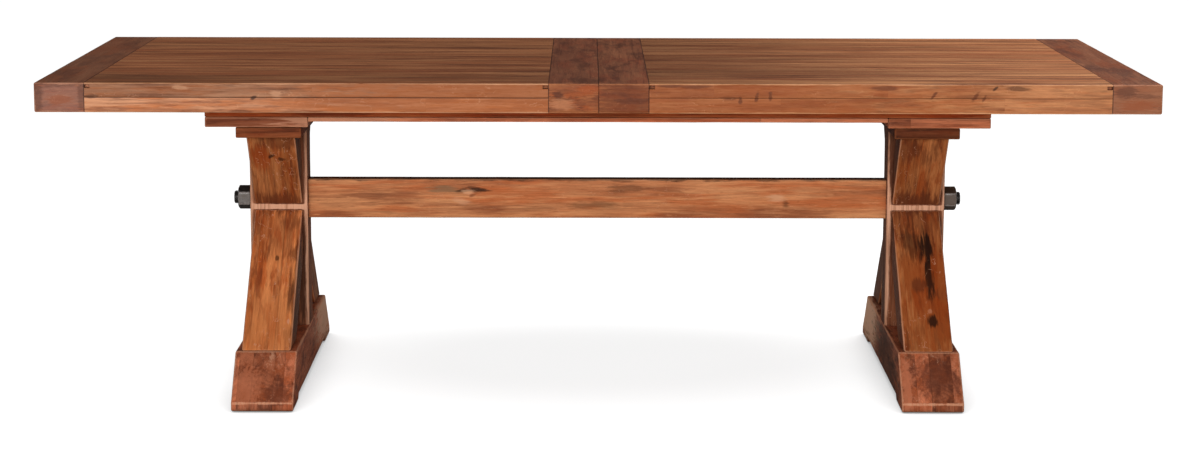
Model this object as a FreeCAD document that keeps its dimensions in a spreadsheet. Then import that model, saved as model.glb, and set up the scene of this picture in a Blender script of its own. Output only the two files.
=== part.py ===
import FreeCAD, Part
import Sketcher
import os

# Trestle dining table with a split top that slides open for a leaf.
# Millimetres. Origin on the floor under the middle of the top, +X along the table, +Z up.

doc = FreeCAD.newDocument("trestle_table")
sheet = doc.addObject("Spreadsheet::Sheet", "sizes")

SIZES = [
    # whole table
    ("top_length", 2480),
    ("top_width", 1060),
    ("table_height", 760),
    # boards of the top
    ("edge_depth", 66),
    ("plank_thick", 32),
    ("cross_board_width", 111),
    ("seam_gap", 0.6),
    # how far each seam between planks lies from even spacing, front to rear
    ("plank_seam_1_shift", 9),
    ("plank_seam_2_shift", -3),
    ("plank_seam_3_shift", -4),
    ("plank_seam_4_shift", 20),
    ("plank_seam_5_shift", 7),
    ("plank_seam_6_shift", -5),
    ("edge_strip_width", 60),
    ("batten_width", 80),
    ("batten_setback", 60),
    # tongue of the cross boards in the ends of the planks
    ("groove_below_top", 4),
    ("groove_height", 8),
    ("groove_depth", 12),
    ("tongue_setback", 16),
    ("joint_gap", 0.2),
    # slide frame under the top
    ("frame_length", 480),
    ("rail_height", 45),
    ("rail_thick", 22),
    ("ledger_thick", 11),
    ("ledger_width", 64),
    ("runner_width", 35),
    ("runner_length", 860),
    ("runner_start", 35),
    ("slide_tongue_height", 12),
    ("slide_tongue_depth", 10),
    ("slide_gap", 0.4),
    # trestles
    ("trestle_spacing", 1522),
    ("plate_thick", 24),
    ("plate_inner", 92),
    ("plate_outer", 146),
    ("cap_thick", 26),
    ("cap_width", 152),
    ("cap_length", 470),
    ("post_width", 138),
    ("post_depth", 84),
    ("post_tenon_width", 90),
    ("post_tenon_depth", 40),
    ("post_tenon_length", 60),
    ("foot_length", 900),
    ("foot_top_length", 696),
    ("foot_height", 121),
    ("foot_width", 142),
    ("toe_height", 22),
    ("pad_length", 118),
    ("foot_relief", 12),
    ("brace_width", 114),
    ("brace_rise", 112),
    ("brace_gap", 12),
    ("waist_drop", 190),
    ("upper_brace_reach", 195),
    ("dowel_diameter", 12),
    ("dowel_length", 64),
    ("dowel_cover", 3),
    ("dowel_gap", 0.1),
    # floor glides
    ("glide_diameter", 32),
    ("glide_thick", 5),
    ("glide_stand", 2),
    ("glide_inset", 40),
    ("glide_spacing", 80),
    # stretcher and its draw bolts
    ("stretcher_height", 95),
    ("stretcher_thick", 40),
    ("bolt_rise", 17),
    ("tenon_height", 70),
    ("tenon_thick", 24),
    ("tenon_length", 44),
    ("bolt_diameter", 31.75),
    ("bolt_stub", 10),
    ("shank_diameter", 12),
    ("shank_tail", 14),
    ("bolt_gap", 0.3),
    ("nut_flats", 50.8),
    ("nut_thick", 31),
    ("barrel_diameter", 20),
    ("barrel_length", 30),
    ("barrel_setback", 70),
    # pins and locks across the seam
    ("pin_diameter", 10),
    ("pin_length", 44),
    ("pin_reach", 18),
    ("pin_spacing", 350),
    ("pin_gap", 0.3),
    ("lock_spacing", 260),
    ("lock_pivot_setback", 45),
    ("lock_strike_setback", 30),
    ("lock_plate_size", 46),
    ("lock_plate_thick", 3),
    ("lock_stud_diameter", 8),
    ("lock_head_diameter", 15),
    ("lock_head_thick", 2),
    ("lever_thick", 4),
    ("lever_width", 20),
    ("lever_end", 11),
    ("lock_gap", 0.5),
    ("stud_gap", 0.1),
]
for row, (alias, value) in enumerate(SIZES, start=1):
    cell = "B%d" % row
    sheet.set("A%d" % row, alias)
    sheet.set(cell, str(value))
    sheet.setAlias(cell, alias)
doc.recompute()

SIDES = {"left": -1, "right": 1}
ENDS = {"front": -1, "rear": 1}
PLANKS = 7
PINS = (-1, 0, 1)

nodes = {}


def size(alias):
    return "sizes." + alias


def times(sign, expression):
    return "%d * (%s)" % (sign, expression)


def low_end(sign, near, far):
    # lower coordinate of a span that runs from near to far on one side of the middle
    return near if sign > 0 else "-(%s)" % far


def bind(item, links):
    for name, expression in links.items():
        item.setExpression(name, expression)


def place(item, corner):
    bind(item, dict(zip(("Placement.Base.x", "Placement.Base.y", "Placement.Base.z"), corner)))


def box(name, lengths, corner):
    item = doc.addObject("Part::Box", name)
    bind(item, dict(zip(("Length", "Width", "Height"), lengths)))
    place(item, corner)
    return item


def turn_to(item, axis):
    # a cylinder or prism stands along Z until it is laid along another axis
    turns = {"x": (FreeCAD.Vector(0, 1, 0), 90), "y": (FreeCAD.Vector(1, 0, 0), -90)}
    if axis in turns:
        item.Placement = FreeCAD.Placement(FreeCAD.Vector(), FreeCAD.Rotation(*turns[axis]))


def rod(name, diameter, length, start, axis):
    item = doc.addObject("Part::Cylinder", name)
    turn_to(item, axis)
    bind(item, {"Radius": "(%s) / 2" % diameter, "Height": length})
    place(item, start)
    return item


def fuse(name, pieces):
    item = doc.addObject("Part::MultiFuse", name)
    item.Shapes = pieces
    item.Refine = True
    return item


def cut(name, base, tools):
    item = doc.addObject("Part::Cut", name)
    item.Base = base
    item.Tool = tools[0] if len(tools) == 1 else fuse(name + "_cuts", tools)
    return item


def group(name, solids):
    item = doc.addObject("Part::Compound", name)
    item.Links = solids
    return item


def node(label, item):
    item.Label = label
    nodes[label] = item
    return item


def outline_body(name, plane, points, thickness, corner):
    # a closed outline on one of the body's own planes, padded to the board's thickness
    body = doc.addObject("PartDesign::Body", name + "_body")
    sketch = body.newObject("Sketcher::SketchObject", name + "_outline")
    sketch.AttachmentSupport = [(item, "") for item in body.Origin.OriginFeatures if item.Role == plane]
    sketch.MapMode = "FlatFace"
    spots = [FreeCAD.Vector(value_of(across), value_of(up), 0) for across, up in points]
    for start, end in zip(spots, spots[1:] + spots[:1]):
        sketch.addGeometry(Part.LineSegment(start, end), False)
    count = len(points)
    for index in range(count):
        sketch.addConstraint(Sketcher.Constraint("Coincident", index, 2, (index + 1) % count, 1))
    for index, (across, up) in enumerate(points):
        for kind, axis, expression in (("DistanceX", -2, across), ("DistanceY", -1, up)):
            if expression == "0":
                sketch.addConstraint(Sketcher.Constraint("PointOnObject", index, 1, axis))
                continue
            made = sketch.addConstraint(Sketcher.Constraint(kind, -1, 1, index, 1, value_of(expression)))
            sketch.setExpression("Constraints[%d]" % made, expression)
    pad = body.newObject("PartDesign::Pad", name + "_pad")
    pad.Profile = sketch
    pad.setExpression("Length", thickness)
    place(body, corner)
    return body


def value_of(expression):
    return float(sheet.evalExpression(expression))


# heights, from the top down
top_under = "(sizes.table_height - sizes.edge_depth)"
plank_under = "(sizes.table_height - sizes.plank_thick)"
strip_height = "(sizes.edge_depth - sizes.plank_thick)"
rail_bottom = "(%s - sizes.slide_gap - sizes.rail_height)" % top_under
plate_bottom = "(%s - sizes.plate_thick)" % rail_bottom
cap_bottom = "(%s - sizes.cap_thick)" % plate_bottom
waist = "(%s - sizes.waist_drop)" % cap_bottom
lower_brace_top = "(%s - sizes.brace_gap / 2)" % waist
upper_brace_foot = "(%s + sizes.brace_gap / 2)" % waist
bolt_height = "(%s + sizes.bolt_rise)" % waist

# places along the table, measured from the seam outwards
half_length = "(sizes.top_length / 2)"
seam_face = "(sizes.seam_gap / 2)"
plank_start = "(%s + sizes.cross_board_width)" % seam_face
plank_end = "(%s - sizes.cross_board_width)" % half_length
plank_length = "(%s - %s)" % (plank_end, plank_start)
trestle = "(sizes.trestle_spacing / 2)"
post_inner = "(%s - sizes.post_width / 2)" % trestle
post_outer = "(%s + sizes.post_width / 2)" % trestle
frame_end = "(%s + sizes.plate_outer)" % trestle
plate_start = "(%s - sizes.plate_inner)" % trestle

# places across the table, measured from the middle outwards
half_width = "(sizes.top_width / 2)"
strip_start = "(%s - sizes.edge_strip_width)" % half_width
frame_face = "(sizes.frame_length / 2)"
rail_inner = "(%s - sizes.rail_thick)" % frame_face
runner_outer = "(%s - sizes.slide_gap)" % rail_inner
post_face = "(sizes.post_depth / 2)"
foot_top_end = "(sizes.foot_top_length / 2)"

# slopes of the braces: run across the table for each millimetre of height
lower_slope = "((%s - %s) / (%s - sizes.foot_height))" % (foot_top_end, post_face, lower_brace_top)
upper_slope = "((sizes.upper_brace_reach - %s) / (%s - %s))" % (post_face, cap_bottom, upper_brace_foot)
lower_run = "(sizes.brace_rise * %s)" % lower_slope
upper_run = "(sizes.brace_rise * %s)" % upper_slope


def cross_board(side, sign, which):
    # full-depth board across the end of the planks, with a tongue that stops short of both edges
    if which == "seam":
        near, tongue_near = seam_face, plank_start
    else:
        near = plank_end
        tongue_near = "(%s - sizes.groove_depth + sizes.joint_gap)" % plank_end
    far = "(%s + sizes.cross_board_width)" % near
    name = "%s_%s_board" % (side, which)
    tongue_length = "(sizes.groove_depth - sizes.joint_gap)"
    blank = box(
        name + "_blank",
        (size("cross_board_width"), size("top_width"), size("edge_depth")),
        (low_end(sign, near, far), "-" + half_width, top_under),
    )
    tongue = box(
        name + "_tongue",
        (
            tongue_length,
            "sizes.top_width - 2 * sizes.tongue_setback",
            "sizes.groove_height - 2 * sizes.joint_gap",
        ),
        (
            low_end(sign, tongue_near, "(%s + %s)" % (tongue_near, tongue_length)),
            "-(%s - sizes.tongue_setback)" % half_width,
            "sizes.table_height - sizes.groove_below_top - sizes.groove_height + sizes.joint_gap",
        ),
    )
    if which == "end":
        return node(name, fuse(name, [blank, tongue]))
    holes = [seam_hole(side, sign, pin) for pin in PINS]
    return node(name, cut(name, fuse(name + "_whole", [blank, tongue]), holes))


pin_height = "(%s + %s / 2)" % (top_under, size("edge_depth"))


def seam_hole(side, sign, pin):
    # a pin is held in the left board and slides into the right one
    if side == "left":
        gap = size("dowel_gap")
        depth = "(sizes.pin_length - sizes.pin_reach)"
    else:
        gap = size("pin_gap")
        depth = "(sizes.pin_reach + sizes.pin_gap)"
    mouth = low_end(sign, seam_face, "(%s + %s)" % (seam_face, depth))
    return rod(
        "%s_seam_hole_%d" % (side, pin + 2),
        "sizes.pin_diameter + 2 * %s" % gap,
        depth,
        (mouth, times(pin, size("pin_spacing")), pin_height),
        "x",
    )


def plank_seam(number):
    # the seams lie near even spacing; the first and the last are the edges of the top
    even = "-%s + sizes.top_width * %d / %d" % (half_width, number, PLANKS)
    if number in (0, PLANKS):
        return "(%s)" % even
    return "(%s + sizes.plank_seam_%d_shift)" % (even, number)


def plank(side, sign, index):
    # a long plank of the field, grooved in both ends
    name = "%s_plank_%d" % (side, index)
    edge = plank_seam(index - 1)
    width = "(%s - %s)" % (plank_seam(index), edge)
    blank = box(
        name + "_blank",
        (plank_length, width, size("plank_thick")),
        (low_end(sign, plank_start, plank_end), edge, plank_under),
    )
    grooves = []
    for which, near in (("inner", plank_start), ("outer", "(%s - sizes.groove_depth)" % plank_end)):
        far = "(%s + sizes.groove_depth)" % near
        floor = "sizes.table_height - sizes.groove_below_top - sizes.groove_height"
        grooves.append(
            box(
                "%s_%s_groove" % (name, which),
                (size("groove_depth"), width, size("groove_height")),
                (low_end(sign, near, far), edge, floor),
            )
        )
    return node(name, cut(name, blank, grooves))


def edge_strip(side, sign, end, way):
    # second layer under the outer plank, which doubles the edge
    name = "%s_%s_edge_strip" % (side, end)
    return node(
        name,
        box(
            name,
            (plank_length, size("edge_strip_width"), strip_height),
            (low_end(sign, plank_start, plank_end), low_end(way, strip_start, half_width), top_under),
        ),
    )


def battens(side, sign):
    # cross battens that hold the planks together, between the edge strips
    first = "(%s + sizes.batten_setback)" % plank_start
    last = "(%s - sizes.batten_setback - sizes.batten_width)" % plank_end
    middle = "((%s + %s) / 2)" % (first, last)
    bars = []
    for number, near in enumerate((first, middle, last), start=1):
        bars.append(
            box(
                "%s_batten_%d" % (side, number),
                (size("batten_width"), "2 * " + strip_start, strip_height),
                (low_end(sign, near, "(%s + sizes.batten_width)" % near), "-" + strip_start, top_under),
            )
        )
    return node(side + "_battens", group(side + "_battens", bars))


def runner(side, sign, end, way):
    # hardwood runner under one half, with a tongue in the groove of the fixed rail
    name = "%s_%s_runner" % (side, end)
    far = "(sizes.runner_start + sizes.runner_length)"
    across = low_end(way, "(%s - sizes.runner_width)" % runner_outer, runner_outer)
    bar = box(
        name + "_bar",
        (size("runner_length"), size("runner_width"), size("rail_height")),
        (low_end(sign, size("runner_start"), far), across, "%s + sizes.slide_gap" % rail_bottom),
    )
    tongue_end = "(%s + sizes.slide_tongue_depth)" % runner_outer
    tongue = box(
        name + "_tongue",
        (size("runner_length"), size("slide_tongue_depth"), size("slide_tongue_height")),
        (
            low_end(sign, size("runner_start"), far),
            low_end(way, runner_outer, tongue_end),
            "%s + (sizes.rail_height - sizes.slide_tongue_height) / 2" % rail_bottom,
        ),
    )
    return node(name, fuse(name, [bar, tongue]))


def rail(end, way):
    # fixed rail on the two plates, grooved on its inner face for the runners
    name = end + "_rail"
    blank = box(
        name + "_blank",
        ("2 * " + frame_end, size("rail_thick"), size("rail_height")),
        ("-" + frame_end, low_end(way, rail_inner, frame_face), rail_bottom),
    )
    depth = "sizes.slide_tongue_depth"
    height = "(sizes.slide_tongue_height + 2 * sizes.slide_gap)"
    groove = box(
        name + "_groove",
        ("2 * " + frame_end, depth, height),
        (
            "-" + frame_end,
            low_end(way, rail_inner, "(%s + %s)" % (rail_inner, depth)),
            "%s + (sizes.rail_height - %s) / 2" % (rail_bottom, height),
        ),
    )
    return node(name, cut(name, blank, [groove]))


def ledger(end, way):
    # thin board under the rail, between the plates, that the runners pass over
    name = end + "_ledger"
    near = "(%s - sizes.ledger_width)" % frame_face
    return node(
        name,
        box(
            name,
            ("2 * " + plate_start, size("ledger_width"), size("ledger_thick")),
            ("-" + plate_start, low_end(way, near, frame_face), "%s - sizes.ledger_thick" % rail_bottom),
        ),
    )


def top_plate(side, sign):
    name = side + "_top_plate"
    return node(
        name,
        box(
            name,
            ("sizes.plate_inner + sizes.plate_outer", size("frame_length"), size("plate_thick")),
            (low_end(sign, plate_start, frame_end), "-" + frame_face, plate_bottom),
        ),
    )


def dowel(name, spot, axis, gap="0"):
    # spot is the middle of the dowel; a hole is longer and wider by the gap
    length = "(sizes.dowel_length + 2 * %s)" % gap
    start = list(spot)
    index = "xyz".index(axis)
    start[index] = "%s - %s / 2" % (spot[index], length)
    return rod(name, "sizes.dowel_diameter + 2 * %s" % gap, length, start, axis)


def dowel_spots(sign):
    # middle of each dowel of one trestle, by brace and by the piece it enters
    along = times(sign, trestle)
    spots = {}
    for end, way in ENDS.items():
        lower = end + "_lower"
        upper = end + "_upper"
        low_z = "(%s - sizes.brace_rise / 2)" % lower_brace_top
        high_z = "(%s + sizes.brace_rise / 2)" % upper_brace_foot
        spots[lower, "post"] = ((along, times(way, post_face), low_z), "y")
        spots[upper, "post"] = ((along, times(way, post_face), high_z), "y")
        foot_y = "%s - %s / 2" % (foot_top_end, lower_run)
        cap_y = "sizes.upper_brace_reach - %s / 2" % upper_run
        spots[lower, "foot"] = ((along, times(way, foot_y), size("foot_height")), "z")
        cap_z = "%s + sizes.cap_thick - sizes.dowel_cover - sizes.dowel_length / 2" % cap_bottom
        spots[upper, "cap"] = ((along, times(way, cap_y), cap_z), "z")
    return spots


def dowel_holes(side, sign, piece):
    # the holes of one trestle that enter a piece, or the two holes of one brace
    holes = []
    for (brace, into), (spot, axis) in dowel_spots(sign).items():
        if piece in (brace, into):
            name = "%s_%s_%s_hole_in_%s" % (side, brace, into, piece)
            holes.append(dowel(name, spot, axis, size("dowel_gap")))
    return holes


def cap(side, sign):
    name = side + "_cap"
    near = "(%s - sizes.cap_width / 2)" % trestle
    far = "(%s + sizes.cap_width / 2)" % trestle
    blank = box(
        name + "_blank",
        (size("cap_width"), size("cap_length"), size("cap_thick")),
        (low_end(sign, near, far), "-(sizes.cap_length / 2)", cap_bottom),
    )
    mortise = post_tenon(side, sign, "cap_mortise")
    return node(name, cut(name, blank, [mortise] + dowel_holes(side, sign, "cap")))


def post_tenon(side, sign, which):
    # tenon at the top or the foot of a post, or the mortise that takes it
    gap = size("joint_gap") if which.endswith("mortise") else "0"
    width = "(sizes.post_tenon_width + 2 * %s)" % gap
    depth = "(sizes.post_tenon_depth + 2 * %s)" % gap
    if which.startswith("cap"):
        height, floor = size("cap_thick"), cap_bottom
    else:
        height = "(sizes.post_tenon_length + %s)" % gap
        floor = "(sizes.foot_height - %s)" % height
    near = "(%s - %s / 2)" % (trestle, width)
    far = "(%s + %s / 2)" % (trestle, width)
    return box(
        "%s_%s" % (side, which),
        (width, depth, height),
        (low_end(sign, near, far), "-%s / 2" % depth, floor),
    )


def post(side, sign):
    # upright with a tenon at each end, a mortise for the stretcher and a bore for its bolt
    name = side + "_post"
    blank = box(
        name + "_blank",
        (size("post_width"), size("post_depth"), "%s - sizes.foot_height" % cap_bottom),
        (low_end(sign, post_inner, post_outer), "-" + post_face, size("foot_height")),
    )
    tenons = [post_tenon(side, sign, "cap_tenon"), post_tenon(side, sign, "foot_tenon")]
    whole = fuse(name + "_whole", [blank] + tenons)
    mortise = stretcher_tenon(side, sign, size("joint_gap"))
    bore = rod(
        name + "_bore",
        "sizes.bolt_diameter + 2 * sizes.bolt_gap",
        size("post_width"),
        (low_end(sign, post_inner, post_outer), "0", bolt_height),
        "x",
    )
    return node(name, cut(name, whole, [mortise, bore] + dowel_holes(side, sign, "post")))


def stretcher_tenon(side, sign, gap):
    name = "%s_stretcher_%s" % (side, "tenon" if gap == "0" else "mortise")
    length = "(sizes.tenon_length + %s)" % gap
    thick = "(sizes.tenon_thick + 2 * %s)" % gap
    height = "(sizes.tenon_height + 2 * %s)" % gap
    return box(
        name,
        (length, thick, height),
        (
            low_end(sign, post_inner, "(%s + %s)" % (post_inner, length)),
            "-%s / 2" % thick,
            "%s - %s / 2" % (bolt_height, height),
        ),
    )


def foot(side, sign):
    # long foot with sloped ends that stands on a pad at each end
    name = side + "_foot"
    slope = "((sizes.foot_length - sizes.foot_top_length) / 2)"
    relief = "(sizes.glide_stand + sizes.foot_relief)"
    inner = "(sizes.pad_length + sizes.foot_relief)"
    outline = [
        ("sizes.pad_length", "sizes.glide_stand"),
        (inner, relief),
        ("sizes.foot_length - %s" % inner, relief),
        ("sizes.foot_length - sizes.pad_length", "sizes.glide_stand"),
        ("sizes.foot_length", "sizes.glide_stand"),
        ("sizes.foot_length", "sizes.toe_height"),
        ("sizes.foot_length - %s" % slope, "sizes.foot_height"),
        (slope, "sizes.foot_height"),
        ("0", "sizes.toe_height"),
        ("0", "sizes.glide_stand"),
    ]
    near = "(%s - sizes.foot_width / 2)" % trestle
    far = "(%s + sizes.foot_width / 2)" % trestle
    corner = (low_end(sign, near, far), "-(sizes.foot_length / 2)", "0")
    blank = outline_body(name, "YZ_Plane", outline, size("foot_width"), corner)
    seats = [glide(side, sign, spot, "seat") for spot in GLIDES]
    mortise = post_tenon(side, sign, "foot_mortise")
    return node(name, cut(name, blank, [mortise] + seats + dowel_holes(side, sign, "foot")))


GLIDES = [(across, way) for across in (-1, 1) for way in (-1, 1)]


def glide(side, sign, spot, kind):
    # round glide let into the pad of a foot, standing proud of it
    across, way = spot
    gap = size("dowel_gap") if kind == "seat" else "0"
    return rod(
        "%s_%s_%d" % (side, kind, GLIDES.index(spot) + 1),
        "sizes.glide_diameter + 2 * %s" % gap,
        size("glide_thick"),
        (
            "%s + %d * sizes.glide_spacing / 2" % (times(sign, trestle), across),
            times(way, "sizes.foot_length / 2 - sizes.glide_inset"),
            "0",
        ),
        "z",
    )


def brace(side, sign, end, way, level):
    # slanted brace between the post and the foot or the cap, cut to meet both flat
    kind = "%s_%s" % (end, level)
    name = "%s_%s_brace" % (side, kind)
    if level == "lower":
        outline = [
            (post_face, lower_brace_top),
            (post_face, "%s - sizes.brace_rise" % lower_brace_top),
            ("%s - %s" % (foot_top_end, lower_run), size("foot_height")),
            (foot_top_end, size("foot_height")),
        ]
    else:
        outline = [
            (post_face, upper_brace_foot),
            (size("upper_brace_reach"), cap_bottom),
            ("sizes.upper_brace_reach - %s" % upper_run, cap_bottom),
            (post_face, "%s + sizes.brace_rise" % upper_brace_foot),
        ]
    near = "(%s - sizes.brace_width / 2)" % trestle
    far = "(%s + sizes.brace_width / 2)" % trestle
    corner = (low_end(sign, near, far), "0", "0")
    if way > 0:
        body = outline_body(name, "YZ_Plane", outline, size("brace_width"), corner)
    else:
        # the same outline turned half round about Z stands on the front side
        corner = ("%s + sizes.brace_width" % corner[0], "0", "0")
        body = outline_body(name, "YZ_Plane", outline, size("brace_width"), ("0", "0", "0"))
        body.Placement = FreeCAD.Placement(FreeCAD.Vector(), FreeCAD.Rotation(FreeCAD.Vector(0, 0, 1), 180))
        place(body, corner)
    return node(name, cut(name, body, dowel_holes(side, sign, kind)))


barrel_centre = "(%s - sizes.barrel_setback)" % post_inner


def stretcher():
    # long rail between the posts, tenoned into both and bored for the draw bolts
    parts = [
        box(
            "stretcher_bar",
            ("2 * " + post_inner, size("stretcher_thick"), size("stretcher_height")),
            (
                "-" + post_inner,
                "-(sizes.stretcher_thick / 2)",
                "%s - sizes.stretcher_height / 2" % bolt_height,
            ),
        )
    ]
    holes = []
    for side, sign in SIDES.items():
        parts.append(stretcher_tenon(side, sign, "0"))
        near = "(%s - sizes.shank_tail - sizes.bolt_gap)" % barrel_centre
        far = "(%s + sizes.tenon_length)" % post_inner
        holes.append(
            rod(
                side + "_shank_hole",
                "sizes.shank_diameter + 2 * sizes.bolt_gap",
                "%s - %s" % (far, near),
                (low_end(sign, near, far), "0", bolt_height),
                "x",
            )
        )
        # the barrel hole is drilled from the rear and stops short of the front face
        holes.append(
            rod(
                side + "_barrel_hole",
                "sizes.barrel_diameter + 2 * sizes.dowel_gap",
                "(sizes.stretcher_thick + sizes.barrel_length) / 2",
                (times(sign, barrel_centre), "-(sizes.barrel_length / 2)", bolt_height),
                "y",
            )
        )
    return node("stretcher", cut("stretcher", fuse("stretcher_whole", parts), holes))


def draw_bolt(side, sign):
    # thick threaded end through the post and a thinner shank into the barrel nut
    head_near = "(%s + sizes.tenon_length + 2 * sizes.joint_gap)" % post_inner
    head_far = "(%s + sizes.nut_thick + sizes.bolt_stub)" % post_outer
    shank_near = "(%s - sizes.shank_tail)" % barrel_centre
    thick = rod(
        side + "_bolt_end",
        size("bolt_diameter"),
        "%s - %s" % (head_far, head_near),
        (low_end(sign, head_near, head_far), "0", bolt_height),
        "x",
    )
    shank = rod(
        side + "_bolt_shank",
        size("shank_diameter"),
        "%s - %s" % (head_near, shank_near),
        (low_end(sign, shank_near, head_near), "0", bolt_height),
        "x",
    )
    return fuse(side + "_draw_bolt", [thick, shank])


def hex_nut(side, sign):
    # heavy hexagon nut on the outer face of the post, a flat towards the front
    far = "(%s + sizes.nut_thick)" % post_outer
    start = (low_end(sign, post_outer, far), "0", bolt_height)
    blank = doc.addObject("Part::Prism", side + "_nut_blank")
    blank.Polygon = 6
    turn_to(blank, "x")
    bind(blank, {"Circumradius": "sizes.nut_flats / sqrt(3)", "Height": size("nut_thick")})
    place(blank, start)
    bore = rod(
        side + "_nut_bore",
        "sizes.bolt_diameter + 2 * sizes.dowel_gap",
        size("nut_thick"),
        start,
        "x",
    )
    return cut(side + "_hex_nut", blank, [bore])


def barrel_nut(side, sign):
    blank = rod(
        side + "_barrel_blank",
        size("barrel_diameter"),
        size("barrel_length"),
        (times(sign, barrel_centre), "-(sizes.barrel_length / 2)", bolt_height),
        "y",
    )
    near = "(%s - sizes.barrel_diameter)" % barrel_centre
    far = "(%s + sizes.barrel_diameter)" % barrel_centre
    bore = rod(
        side + "_barrel_bore",
        "sizes.shank_diameter + 2 * sizes.dowel_gap",
        "2 * sizes.barrel_diameter",
        (low_end(sign, near, far), "0", bolt_height),
        "x",
    )
    return cut(side + "_barrel_nut", blank, [bore])


def seam_pin(pin):
    return rod(
        "seam_pin_%d" % (pin + 2),
        size("pin_diameter"),
        size("pin_length"),
        (
            "-(%s) - (sizes.pin_length - sizes.pin_reach)" % seam_face,
            times(pin, size("pin_spacing")),
            pin_height,
        ),
        "x",
    )


lever_top = "(%s - sizes.lock_plate_thick - sizes.lock_gap)" % top_under
lock_head_top = "(%s - sizes.lever_thick - sizes.lock_gap)" % lever_top
lock_across = "(sizes.lock_spacing / 2)"


def lock_fixing(name, along, way, head):
    # plate screwed under a seam board, with a stud that hangs from it
    start = (along, times(way, lock_across))
    plate = box(
        name + "_plate",
        (size("lock_plate_size"), size("lock_plate_size"), size("lock_plate_thick")),
        (
            "%s - sizes.lock_plate_size / 2" % start[0],
            "%s - sizes.lock_plate_size / 2" % start[1],
            "%s - sizes.lock_plate_thick" % top_under,
        ),
    )
    stud_floor = "(%s - sizes.lock_head_thick)" % lock_head_top
    stud = rod(
        name + "_stud",
        size("lock_stud_diameter"),
        "%s - sizes.lock_plate_thick - %s" % (top_under, stud_floor),
        start + (stud_floor,),
        "z",
    )
    parts = [plate, stud]
    if head:
        diameter = size("lock_head_diameter")
        thick = size("lock_head_thick")
        parts.append(rod(name + "_head", diameter, thick, start + (stud_floor,), "z"))
    return fuse(name, parts)


def lock_lever(end, way):
    # flat lever that swings across the seam; its notch takes the stud of the strike
    name = end + "_lock_lever"
    reach = "(sizes.lock_pivot_setback + sizes.lock_strike_setback)"
    notch_half = "(sizes.lock_stud_diameter / 2 + 2 * sizes.lock_gap)"
    tail = "(sizes.lever_width / 2)"
    outline = [
        ("0", "0"),
        ("sizes.lever_width", "0"),
        ("sizes.lever_width", "%s + %s - %s" % (tail, reach, notch_half)),
        ("%s - %s" % (tail, notch_half), "%s + %s - %s" % (tail, reach, notch_half)),
        ("%s - %s" % (tail, notch_half), "%s + %s + %s" % (tail, reach, notch_half)),
        ("sizes.lever_width", "%s + %s + %s" % (tail, reach, notch_half)),
        ("sizes.lever_width", "%s + %s + sizes.lever_end" % (tail, reach)),
        ("0", "%s + %s + sizes.lever_end" % (tail, reach)),
    ]
    body = outline_body(name, "XY_Plane", outline, size("lever_thick"), ("0", "0", "0"))
    corner_x = "-sizes.lock_pivot_setback - sizes.lever_width / 2"
    if way < 0:
        place(body, (corner_x, "-(%s + %s)" % (lock_across, tail), "%s - sizes.lever_thick" % lever_top))
    else:
        # turned over about X so that it points the other way with its notch on the same side
        body.Placement = FreeCAD.Placement(FreeCAD.Vector(), FreeCAD.Rotation(FreeCAD.Vector(1, 0, 0), 180))
        place(body, (corner_x, "%s + %s" % (lock_across, tail), lever_top))
    hole = rod(
        name + "_hole",
        "sizes.lock_stud_diameter + 2 * sizes.stud_gap",
        "sizes.lever_thick",
        (
            "-sizes.lock_pivot_setback",
            times(way, lock_across),
            "%s - sizes.lever_thick" % lever_top,
        ),
        "z",
    )
    return node(name, cut(name, body, [hole]))


for side, sign in SIDES.items():
    for which in ("end", "seam"):
        cross_board(side, sign, which)
    for index in range(1, PLANKS + 1):
        plank(side, sign, index)
    battens(side, sign)
    foot(side, sign)
    post(side, sign)
    cap(side, sign)
    top_plate(side, sign)
    for end, way in ENDS.items():
        edge_strip(side, sign, end, way)
        runner(side, sign, end, way)
        for level in ("lower", "upper"):
            brace(side, sign, end, way, level)

for end, way in ENDS.items():
    rail(end, way)
    ledger(end, way)
    lock_lever(end, way)

stretcher()
node("draw_bolts", group("draw_bolts", [draw_bolt(*item) for item in SIDES.items()]))
node("hex_nuts", group("hex_nuts", [hex_nut(*item) for item in SIDES.items()]))
node("barrel_nuts", group("barrel_nuts", [barrel_nut(*item) for item in SIDES.items()]))
node("seam_pins", group("seam_pins", [seam_pin(pin) for pin in PINS]))

dowels = []
glides = []
for side, sign in SIDES.items():
    for (brace_name, into), (spot, axis) in dowel_spots(sign).items():
        dowels.append(dowel("%s_%s_%s_dowel" % (side, brace_name, into), spot, axis))
    for spot in GLIDES:
        glides.append(glide(side, sign, spot, "glide"))
node("brace_dowels", group("brace_dowels", dowels))
node("floor_glides", group("floor_glides", glides))

plates = []
strikes = []
for end, way in ENDS.items():
    plates.append(lock_fixing(end + "_lock_pivot", "-(sizes.lock_pivot_setback)", way, True))
    strikes.append(lock_fixing(end + "_lock_strike", "(sizes.lock_strike_setback)", way, False))
node("lock_pivots", group("lock_pivots", plates))
node("lock_strikes", group("lock_strikes", strikes))

doc.recompute()

for item in doc.Objects:
    if "Invalid" in item.State or "Error" in item.State:
        raise RuntimeError("%s did not recompute: %s" % (item.Label, item.State))
for label, item in nodes.items():
    if item.Shape.isNull() or not item.Shape.isValid():
        raise RuntimeError(label + " has no valid shape")

os.makedirs("parts", exist_ok=True)
for label, item in nodes.items():
    item.Shape.exportStep("parts/%s.step" % label)
print(len(nodes), "pieces written")
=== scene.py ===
import math
import random

import bmesh
import bpy
import numpy as np
from mathutils import Matrix, Vector, noise


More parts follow.
